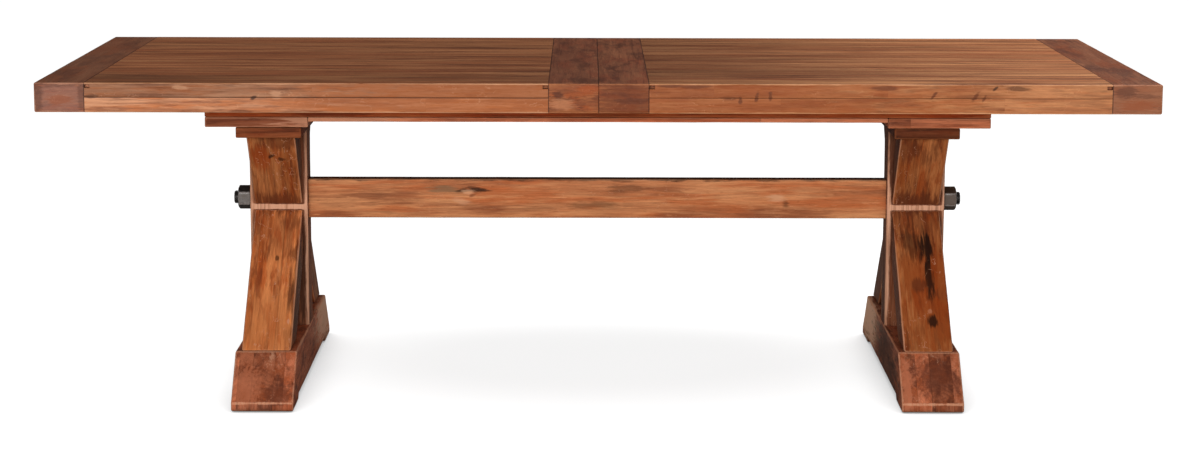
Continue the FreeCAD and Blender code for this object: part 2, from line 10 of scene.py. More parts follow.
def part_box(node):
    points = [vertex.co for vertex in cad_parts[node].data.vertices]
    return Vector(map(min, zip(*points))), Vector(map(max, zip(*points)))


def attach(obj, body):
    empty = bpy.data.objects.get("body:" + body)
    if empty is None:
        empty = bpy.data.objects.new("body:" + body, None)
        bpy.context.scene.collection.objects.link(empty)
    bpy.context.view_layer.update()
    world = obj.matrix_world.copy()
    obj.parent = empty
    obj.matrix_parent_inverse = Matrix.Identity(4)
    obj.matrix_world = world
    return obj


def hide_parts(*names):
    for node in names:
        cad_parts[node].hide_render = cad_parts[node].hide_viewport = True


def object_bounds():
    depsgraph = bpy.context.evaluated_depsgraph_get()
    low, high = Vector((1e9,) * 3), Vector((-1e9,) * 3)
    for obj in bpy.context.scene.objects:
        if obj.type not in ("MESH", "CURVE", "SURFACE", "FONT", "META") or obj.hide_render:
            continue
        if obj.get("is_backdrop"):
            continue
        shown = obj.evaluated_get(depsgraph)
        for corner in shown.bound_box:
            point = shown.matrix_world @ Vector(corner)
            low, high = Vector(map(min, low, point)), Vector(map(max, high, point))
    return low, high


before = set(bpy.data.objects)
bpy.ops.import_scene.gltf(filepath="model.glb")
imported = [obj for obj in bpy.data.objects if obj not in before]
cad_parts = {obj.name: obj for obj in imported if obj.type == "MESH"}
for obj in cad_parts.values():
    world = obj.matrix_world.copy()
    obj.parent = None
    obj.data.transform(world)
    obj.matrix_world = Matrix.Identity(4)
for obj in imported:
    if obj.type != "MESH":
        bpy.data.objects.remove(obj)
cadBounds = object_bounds()
scene = bpy.context.scene
scene.view_settings.view_transform = "Standard"
sides = {"left": -1, "right": 1}  # direction along X
ends = {"front": "y-", "rear": "y+"}  # the face that looks outwards
print("frame loaded:", len(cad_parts), "nodes")


def addObject(name, data):
    added = bpy.data.objects.new(name, data)
    scene.collection.objects.link(added)
    return added


# shader helpers

shadeNames = ("pale", "warm", "rust", "dark", "char", "worn", "ash", "base", "bare", "dust", "flatShade")


def paint(red, green, blue):
    # a colour as it is picked on screen, 0 to 255, made linear
    out = []
    for value in (red, green, blue):
        value /= 255
        out.append(value / 12.92 if value <= 0.04045 else ((value + 0.055) / 1.055) ** 2.4)
    return (*out, 1.0)


def shadesOf(look):
    return {name: paint(*look[name]) for name in shadeNames if name in look}


def newMaterial(name):
    material = bpy.data.materials.new(name)
    material.use_nodes = True
    return material, material.node_tree, material.node_tree.nodes["Principled BSDF"]


def addNode(tree, kind, links=None, **settings):
    node = tree.nodes.new(kind)
    for name, value in settings.items():
        setattr(node, name, value)
    for socket, source in (links or {}).items():
        if isinstance(source, bpy.types.NodeSocket):
            tree.links.new(source, node.inputs[socket])
        else:
            node.inputs[socket].default_value = source
    return node


def mathStep(tree, operation, first, second=0.0, third=0.0):
    links = {0: first, 1: second, 2: third}
    return addNode(tree, "ShaderNodeMath", links, operation=operation).outputs[0]


def times(tree, value, *factors):
    for factor in factors:
        value = mathStep(tree, "MULTIPLY", value, factor)
    return value


def vectorStep(tree, operation, first, second=(0, 0, 0), output="Vector"):
    return addNode(tree, "ShaderNodeVectorMath", {0: first, 1: second}, operation=operation).outputs[output]


def axesOf(tree, vector):
    return addNode(tree, "ShaderNodeSeparateXYZ", {0: vector}).outputs


def ease(tree, value, low, high, start=0.0, end=1.0):
    # soft step from start to end as the value goes from low to high
    links = {"Value": value, "From Min": low, "From Max": high, "To Min": start, "To Max": end}
    return addNode(tree, "ShaderNodeMapRange", links, interpolation_type="SMOOTHSTEP").outputs[0]


def blendColor(tree, amount, first, second, how="MIX"):
    links = {0: amount, 6: first, 7: second}
    return addNode(tree, "ShaderNodeMix", links, data_type="RGBA", blend_type=how).outputs[2]


def shadeColor(tree, color, value):
    grey = addNode(tree, "ShaderNodeCombineColor", {0: value, 1: value, 2: value}).outputs[0]
    return blendColor(tree, 1.0, color, grey, "MULTIPLY")


def speckle(tree, vector, stretch, detail=2.0, roughness=0.5):
    # noise whose grains are stretched along the wood
    coords = vectorStep(tree, "MULTIPLY", vector, stretch)
    links = {"Vector": coords, "Scale": 1.0, "Detail": detail, "Roughness": roughness}
    return addNode(tree, "ShaderNodeTexNoise", links).outputs[0]


def wobble(tree, *noiseValues):
    # the same noise, swinging about zero
    return mathStep(tree, "SUBTRACT", speckle(tree, *noiseValues), 0.5)


def layer(tree, vector, stretch, detail, roughness, low, high, start=0.0, end=1.0):
    # mask of the places where the noise is high
    return ease(tree, speckle(tree, vector, stretch, detail, roughness), low, high, start, end)


def readLayer(tree, name, output="Fac"):
    return addNode(tree, "ShaderNodeAttribute", attribute_name=name).outputs[output]


def openness(tree, reach, samples):
    # how open a place is: 0 in a deep corner, 1 in the open
    links = {"Distance": reach}
    return addNode(tree, "ShaderNodeAmbientOcclusion", links, samples=samples).outputs["AO"]


def newGroup(name, inputs, outputs):
    tree = bpy.data.node_groups.new(name, "ShaderNodeTree")
    for direction, sockets in (("INPUT", inputs), ("OUTPUT", outputs)):
        for label, kind in sockets:
            tree.interface.new_socket(label, in_out=direction, socket_type="NodeSocket" + kind)
    source = tree.nodes.new("NodeGroupInput").outputs
    target = tree.nodes.new("NodeGroupOutput").inputs
    return tree, source, target


def fillGroup(tree, group, links):
    return addNode(tree, "ShaderNodeGroup", links, node_tree=group).outputs


# grain of one board: growth rings about a far heart, patches, streaks, fibres, pores and knots

grainLook = {
    "ringsPerMetre": 85.0, "heartBelow": 0.075, "ringWander": 0.06, "wanderStretch": (1.1, 9, 9),
    "wanderDetail": 4, "ringsRoundKnot": 2.2, "ringRipple": 2.4, "rippleStretch": (2.5, 30, 30),
    "rippleDetail": 3,
    "lateRise": (0.2, 0.85), "lateFall": (0.88, 1.0),
    "knotStretch": (1.5, 6.5, 6.5), "knotShare": 0.74, "knotCore": (0.02, 0.1), "knotHalo": (0.04, 0.4),
    "fibreStretch": (22, 640, 640), "fibreLevels": (0.25, 0.75), "fibreShade": (0.82, 1.12),
    "poreShade": -0.3, "toneShade": (0.8, 0.6),
    # stretch along, across and into the board, detail, roughness, low and high level
    "layers": {
        "ringPlaces": ((3, 22, 22), 2, 0.5, 0.35, 0.62),
        "cloud": ((2.6, 20, 20), 4, 0.6, 0.35, 0.65),
        "streak": ((3.2, 110, 110), 4, 0.62, 0.5, 0.66),
        "streakPlaces": ((2, 18, 18), 2, 0.5, 0.3, 0.6),
        "stain": ((6, 42, 42), 4, 0.6, 0.6, 0.72),
        "fleck": ((26, 240, 240), 3, 0.6, 0.6, 0.7),
        "pore": ((60, 1300, 1300), 1, 0.5, 0.62, 0.72),
    },
    # place in the noise, detail, roughness, low and high level
    "patches": {
        "lightPatch": ((31, 5, 9), 3, 0.6, 0.52, 0.64),
        "rustPatch": ((3, 17, 8), 3, 0.6, 0.46, 0.6),
        "darkPatch": ((12, 2, 23), 4, 0.6, 0.5, 0.63),
    },
    # from the ground up: mask, amount that the finish sets, share, colour
    "coats": (
        ("cloud", None, 1.0, "Warm"),
        ("rustPatch", "Patches", 0.85, "Rust"),
        ("darkPatch", "Patches", 0.8, "Dark"),
        ("lightPatch", "Patches", 0.75, "Pale"),
        ("fleck", "Patches", 0.55, "Pale"),
        ("late", "Rings", 1.0, "Dark"),
        ("streak", "Streaks", 1.0, "Dark"),
        ("stain", "Streaks", 0.75, "Char"),
        ("knotHalo", None, 0.5, "Dark"),
        ("knotCore", None, 0.92, "Char"),
    ),
    "gloss": {"fibre": 0.1, "streak": 0.07, "pore": 0.15},
    "height": {"fibre": 0.5, "late": 0.35, "pore": -0.6, "knotCore": -0.5},
}
grainColors = ("Pale", "Warm", "Rust", "Dark", "Char")
grainAmounts = ("Rings", "Streaks", "Patches", "Knots")


def knotMasks(tree, grain, amount, look):
    # a few cells of a stretched pattern
    stretched = vectorStep(tree, "MULTIPLY", grain, look["knotStretch"])
    cells = addNode(tree, "ShaderNodeTexVoronoi", {"Vector": stretched, "Scale": 1.0}).outputs
    chosen = addNode(tree, "ShaderNodeSeparateColor", {0: cells["Color"]}).outputs[0]
    chosen = times(tree, mathStep(tree, "GREATER_THAN", chosen, look["knotShare"]), amount)
    near = {name: ease(tree, cells["Distance"], *look[name], 1, 0) for name in ("knotCore", "knotHalo")}
    return {name: times(tree, mask, chosen) for name, mask in near.items()}


def lateWood(tree, grain, knotHalo, look):
    # the dark side of each growth ring, pushed aside by the knots
    wander = wobble(tree, grain, look["wanderStretch"], look["wanderDetail"])
    wander = times(tree, wander, look["ringWander"])
    parts = axesOf(tree, grain)
    across = mathStep(tree, "ADD", parts[1], wander)
    deep = mathStep(tree, "ADD", mathStep(tree, "ADD", parts[2], look["heartBelow"]), wander)
    square = mathStep(tree, "MULTIPLY_ADD", across, across, times(tree, deep, deep))
    turn = times(tree, mathStep(tree, "SQRT", square), look["ringsPerMetre"])
    turn = mathStep(tree, "MULTIPLY_ADD", knotHalo, look["ringsRoundKnot"], turn)
    ripple = speckle(tree, grain, look["rippleStretch"], look["rippleDetail"])
    turn = mathStep(tree, "MULTIPLY_ADD", ripple, look["ringRipple"], turn)
    ring = mathStep(tree, "FRACT", turn)
    return times(tree, ease(tree, ring, *look["lateRise"]), ease(tree, ring, *look["lateFall"], 1, 0))


def buildGrainGroup(look):
    inputs = [("Grain", "Vector"), ("Figure", "Vector"), ("Tone", "Float")]
    inputs += [(label, "Color") for label in grainColors] + [(label, "Float") for label in grainAmounts]
    outputs = [("Color", "Color"), ("Gloss", "Float"), ("Height", "Float")]
    tree, given, made = newGroup("boardGrain", inputs, outputs)
    grain = given["Grain"]
    masks = {name: layer(tree, grain, *values) for name, values in look["layers"].items()}
    masks["streak"] = times(tree, masks["streak"], masks["streakPlaces"])
    masks["fibre"] = speckle(tree, grain, look["fibreStretch"])
    masks.update(knotMasks(tree, grain, given["Knots"], look))
    late = lateWood(tree, grain, masks["knotHalo"], look)
    masks["late"] = times(tree, late, masks["ringPlaces"])
    # patches of lighter, redder and darker wood, at the scale of the finish
    figure = vectorStep(tree, "MULTIPLY", grain, given["Figure"])
    for name, (shift, *values) in look["patches"].items():
        masks[name] = layer(tree, vectorStep(tree, "ADD", figure, shift), (1, 1, 1), *values)
    color = given["Pale"]
    for mask, amount, share, shade in look["coats"]:
        cover = times(tree, masks[mask], given[amount] if amount else 1.0, share)
        color = blendColor(tree, cover, color, given[shade])
    shade = ease(tree, masks["fibre"], *look["fibreLevels"], *look["fibreShade"])
    shade = times(tree, shade, mathStep(tree, "MULTIPLY_ADD", masks["pore"], look["poreShade"], 1.0))
    shade = times(tree, shade, mathStep(tree, "MULTIPLY_ADD", given["Tone"], *look["toneShade"]))
    tree.links.new(shadeColor(tree, color, shade), made["Color"])
    for socket in ("Gloss", "Height"):
        total = 0.0
        for mask, share in look[socket.lower()].items():
            total = mathStep(tree, "MULTIPLY_ADD", masks[mask], share, total)
        tree.links.new(total, made[socket])
    return tree


# boards glued up from staves: each stave has its own piece of grain and its own tone

staveLook = {
    "swellRate": (2.3, 2.3, 2.3), "swellReach": (0.28, 0.28, 0.28), "jump": (5.0, 0.16, 0.16),
    "glueLine": (0.0002, 0.0011),
}
halfStave = (0.5, 0.5, 0.5)


def buildStaveGroup(look):
    inputs = [("Grain", "Vector"), ("Stave", "Vector")]
    outputs = [("Grain", "Vector"), ("Tone", "Float"), ("Joint", "Float")]
    tree, given, made = newGroup("gluedStaves", inputs, outputs)
    cells = vectorStep(tree, "DIVIDE", given["Grain"], given["Stave"])
    swell = vectorStep(tree, "SINE", vectorStep(tree, "MULTIPLY", cells, look["swellRate"]))
    cells = vectorStep(tree, "ADD", cells, vectorStep(tree, "MULTIPLY", swell, look["swellReach"]))
    cells = vectorStep(tree, "ADD", cells, halfStave)
    row = vectorStep(tree, "FLOOR", vectorStep(tree, "MULTIPLY", cells, (0, 1, 1)))
    shift = addNode(tree, "ShaderNodeTexWhiteNoise", {"Vector": row}).outputs["Value"]
    shift = addNode(tree, "ShaderNodeCombineXYZ", {0: shift}).outputs[0]
    staggered = vectorStep(tree, "ADD", cells, shift)
    pick = addNode(tree, "ShaderNodeTexWhiteNoise", {"Vector": vectorStep(tree, "FLOOR", staggered)}).outputs
    jump = vectorStep(tree, "SUBTRACT", pick["Color"], halfStave)
    jump = vectorStep(tree, "MULTIPLY", jump, look["jump"])
    tree.links.new(vectorStep(tree, "ADD", given["Grain"], jump), made["Grain"])
    tree.links.new(pick["Value"], made["Tone"])
    # distance to the nearest glue line
    inside = vectorStep(tree, "SUBTRACT", vectorStep(tree, "FRACTION", staggered), halfStave)
    inside = vectorStep(tree, "SUBTRACT", halfStave, vectorStep(tree, "ABSOLUTE", inside))
    reach = axesOf(tree, vectorStep(tree, "MULTIPLY", inside, given["Stave"]))
    nearest = mathStep(tree, "MINIMUM", reach[0], mathStep(tree, "MINIMUM", reach[1], reach[2]))
    tree.links.new(ease(tree, nearest, *look["glueLine"], 1, 0), made["Joint"])
    return tree


# worn edges: the mask of the mesh, broken up along the grain

wearLook = {
    "fine": ((35, 160, 160), 3), "fineShare": 0.5, "broad": ((5, 16, 16), 2), "broadShare": 0.9,
    "levels": (0.42, 0.8), "outside": (0.0, 0.15),
}


def buildWearGroup(look):
    inputs = [("Wear", "Float"), ("Grain", "Vector"), ("Amount", "Float")]
    tree, given, made = newGroup("edgeWear", inputs, [("Mask", "Float")])
    rubbed = given["Wear"]
    for name in ("fine", "broad"):
        grit = wobble(tree, given["Grain"], *look[name])
        rubbed = mathStep(tree, "MULTIPLY_ADD", grit, look[name + "Share"], rubbed)
    rubbed = ease(tree, rubbed, *look["levels"])
    rubbed = times(tree, rubbed, ease(tree, given["Wear"], *look["outside"]), given["Amount"])
    tree.links.new(rubbed, made["Mask"])
    return tree


# scuffs: short light scratches that wander over the surface, in patches

scuffLook = {
    "line": ((22, 34, 34), 3, 0.55), "lineWidth": (0.002, 0.014),
    "places": ((7, 13, 13), 2, 0.5, 0.5, 0.6), "breaks": ((70, 110, 110), 2, 0.5, 0.42, 0.56),
}


def buildScuffGroup(look):
    inputs = [("Grain", "Vector"), ("Amount", "Float")]
    tree, given, made = newGroup("scuffLines", inputs, [("Mask", "Float")])
    level = mathStep(tree, "ABSOLUTE", wobble(tree, given["Grain"], *look["line"]))
    line = ease(tree, level, *look["lineWidth"], 1, 0)
    places = layer(tree, given["Grain"], *look["places"])
    breaks = layer(tree, given["Grain"], *look["breaks"])
    tree.links.new(times(tree, line, places, breaks, given["Amount"]), made["Mask"])
    return tree


# a single mark, such as a knot or a smudge, at its own place

markLook = {"ragged": ((18, 150, 150), 4, 0.6), "raggedShare": 2.1, "edge": (0.5, 1.1)}


def buildMarkGroup(look):
    inputs = [(label, "Vector") for label in ("Place", "Centre", "Size", "Grain")] + [("Lean", "Float")]
    tree, given, made = newGroup("timberMark", inputs, [("Mask", "Float")])
    offset = vectorStep(tree, "SUBTRACT", given["Place"], given["Centre"])
    aside = times(tree, axesOf(tree, offset)[2], given["Lean"])
    aside = addNode(tree, "ShaderNodeCombineXYZ", {0: aside}).outputs[0]
    offset = vectorStep(tree, "DIVIDE", vectorStep(tree, "SUBTRACT", offset, aside), given["Size"])
    far = vectorStep(tree, "LENGTH", offset, output="Value")
    ragged = wobble(tree, given["Grain"], *look["ragged"])
    far = mathStep(tree, "MULTIPLY_ADD", ragged, look["raggedShare"], far)
    tree.links.new(ease(tree, far, *look["edge"], 1, 0), made["Mask"])
    return tree


grainGroup = buildGrainGroup(grainLook)
staveGroup = buildStaveGroup(staveLook)
wearGroup = buildWearGroup(wearLook)
scuffGroup = buildScuffGroup(scuffLook)
markGroup = buildMarkGroup(markLook)


# timber finishes: what they share, then what each has of its own

plainFinish = {
    "rings": 0.3, "stave": (400, 9, 9), "joint": 0.35, "roughness": 0.44, "shine": 0.12, "bump": 0.0004,
    "bareWood": ((12, 260, 260), 3, 0.5, 0.42, 0.66, 0, 0.6), "rubbedShare": 0.92, "rubbedRoughness": 0.12,
    "seamLevels": (0.25, 0.9), "seamShare": 0.85, "flankFacing": (0.75, 0.95), "topDesaturationFacing": (0.3, 0.9),
    "creaseReach": 0.07, "creaseSamples": 6, "creaseLevels": (0.1, 0.75), "bumpStrength": 0.6,
}
finishes = {
    "topTimber": {
        "pale": (200, 134, 90), "warm": (168, 103, 66), "rust": (166, 92, 56),
        "dark": (106, 60, 39), "char": (62, 38, 28), "worn": (216, 160, 120),
        "rings": 0.35, "streaks": 0.72, "patches": 0.75, "knots": 0.7, "figure": (1.8, 30, 30),
        "staveTone": 0.35, "scuffs": 0.08, "wear": 0.75,
    },
    "leftEdgeTimber": {
        "pale": (187, 130, 95), "warm": (162, 102, 68), "rust": (167, 92, 46),
        "dark": (112, 66, 46), "char": (62, 38, 28), "worn": (220, 166, 128),
        "streaks": 0.5, "patches": 0.85, "knots": 0.6, "figure": (7, 70, 70), "stave": (0.6, 9, 9),
        "joint": 0.12, "staveTone": 0.25, "scuffs": 0.25, "wear": 0.8,
    },
    "rightEdgeTimber": {
        "pale": (190, 124, 78), "warm": (168, 102, 60), "rust": (160, 81, 38),
        "dark": (110, 58, 32), "char": (58, 36, 24), "worn": (226, 164, 118),
        "streaks": 0.38, "patches": 0.62, "knots": 0.6, "figure": (7, 70, 70), "stave": (0.6, 9, 9),
        "joint": 0.06, "staveTone": 0.16, "scuffs": 0.25, "wear": 0.9,
    },
    "seamTimber": {
        "pale": (170, 100, 58), "warm": (148, 82, 48), "rust": (160, 76, 34), "dark": (92, 48, 30),
        "char": (46, 30, 28), "worn": (200, 134, 94),
        "streaks": 0.5, "patches": 0.85, "knots": 0.3, "figure": (5, 17, 17), "staveTone": 0.2,
        "scuffs": 0.3, "wear": 0.5, "topDesaturation": 0.08,
    },
    "crossTimber": {
        "pale": (160, 104, 75), "warm": (140, 84, 56), "rust": (150, 78, 46), "dark": (92, 55, 43),
        "char": (48, 30, 26), "worn": (206, 148, 118), "ash": (148, 108, 98),
        "streaks": 0.5, "patches": 0.85, "knots": 0.5, "figure": (5, 17, 17), "staveTone": 0.2,
        "scuffs": 0.25, "wear": 0.7,
    },
    "legTimber": {
        "pale": (195, 120, 70), "warm": (158, 82, 40), "rust": (152, 64, 24), "dark": (98, 49, 29),
        "char": (40, 24, 18), "worn": (214, 154, 120),
        "rings": 0.25, "streaks": 0.4, "patches": 0.72, "knots": 0.8, "figure": (9, 42, 42),
        "stave": (400, 0.042, 9), "staveTone": 0.3, "scuffs": 0.6, "wear": 0.8, "roughness": 0.42,
        "shine": 0.05, "crease": 0.8, "flank": 0.6, "bump": 0.0005,
    },
    # the posts are painted darker than the braces, for the shade they stand in behind them
    "postTimber": {
        "pale": (150, 92, 62), "warm": (122, 70, 46), "rust": (124, 62, 36), "dark": (80, 44, 30),
        "char": (40, 25, 19), "worn": (224, 168, 136),
        "rings": 0.4, "streaks": 0.6, "patches": 0.7, "knots": 0.5, "figure": (7, 46, 46),
        "stave": (400, 0.05, 9), "staveTone": 0.3, "scuffs": 0.3, "wear": 1.0, "roughness": 0.46,
        "shine": 0.04, "crease": 0.85, "bump": 0.0005,
    },
    "footTimber": {
        "pale": (196, 116, 82), "warm": (160, 86, 56), "rust": (158, 78, 44), "dark": (100, 54, 40),
        # the ash colour is for a painted reflection of the floor on the inner sides
        "char": (46, 27, 15), "worn": (218, 158, 124), "ash": (230, 180, 146),
        "rings": 0.35, "streaks": 0.4, "patches": 0.9, "knots": 0.6, "figure": (14, 24, 24),
        "stave": (0.9, 0.036, 9), "staveTone": 0.75, "scuffs": 0.5, "wear": 0.8, "roughness": 0.42,
        "shine": 0.05, "crease": 0.8, "bump": 0.0005,
    },
    "stretcherTimber": {
        "pale": (202, 136, 90), "warm": (174, 104, 64), "rust": (178, 94, 50),
        "dark": (130, 72, 44), "char": (60, 33, 18), "worn": (220, 166, 128), "ash": (136, 100, 70),
        "streaks": 0.28, "patches": 0.9, "knots": 0.3, "figure": (3.2, 30, 30), "staveTone": 0.2,
        "scuffs": 0.15, "wear": 0.35, "shine": 0.06, "crease": 0.8,
    },
    "slideTimber": {
        "pale": (190, 112, 76), "warm": (164, 88, 54), "rust": (158, 74, 38), "dark": (112, 58, 38),
        "char": (62, 36, 30), "worn": (216, 152, 118),
        "streaks": 0.5, "patches": 0.7, "knots": 0.4, "figure": (5, 46, 46), "stave": (0.5, 9, 9),
        "staveTone": 0.5, "scuffs": 0.1, "wear": 0.5, "roughness": 0.48, "shine": 0.08,
        "crease": 0.5,
    },
    # the caps are painted dark, for the shade they sit in under the plates
    "capTimber": {
        "pale": (120, 64, 36), "warm": (100, 48, 24), "rust": (106, 46, 20), "dark": (66, 30, 15),
        "char": (40, 22, 15), "worn": (150, 88, 54),
        "streaks": 0.8, "patches": 1.0, "knots": 0.4, "figure": (6, 46, 46), "staveTone": 0.3,
        "scuffs": 0.2, "wear": 0.4, "roughness": 0.48, "shine": 0.05, "crease": 0.8,
    },
    "railTimber": {
        "pale": (178, 88, 44), "warm": (150, 64, 28), "rust": (156, 58, 20), "dark": (98, 40, 20),
        "char": (54, 28, 20), "worn": (198, 122, 80),
        "streaks": 0.6, "patches": 0.8, "knots": 0.4, "figure": (4, 46, 46), "staveTone": 0.3,
        "scuffs": 0.1, "wear": 0.4, "roughness": 0.48, "shine": 0.05, "crease": 0.8,
    },
}

# the right half's planks are a little yellower and more patched
finishes["rightTopTimber"] = dict(
    finishes["topTimber"], pale=(206, 142, 96), warm=(168, 106, 68), patches=0.85, figure=(1.8, 36, 36)
)

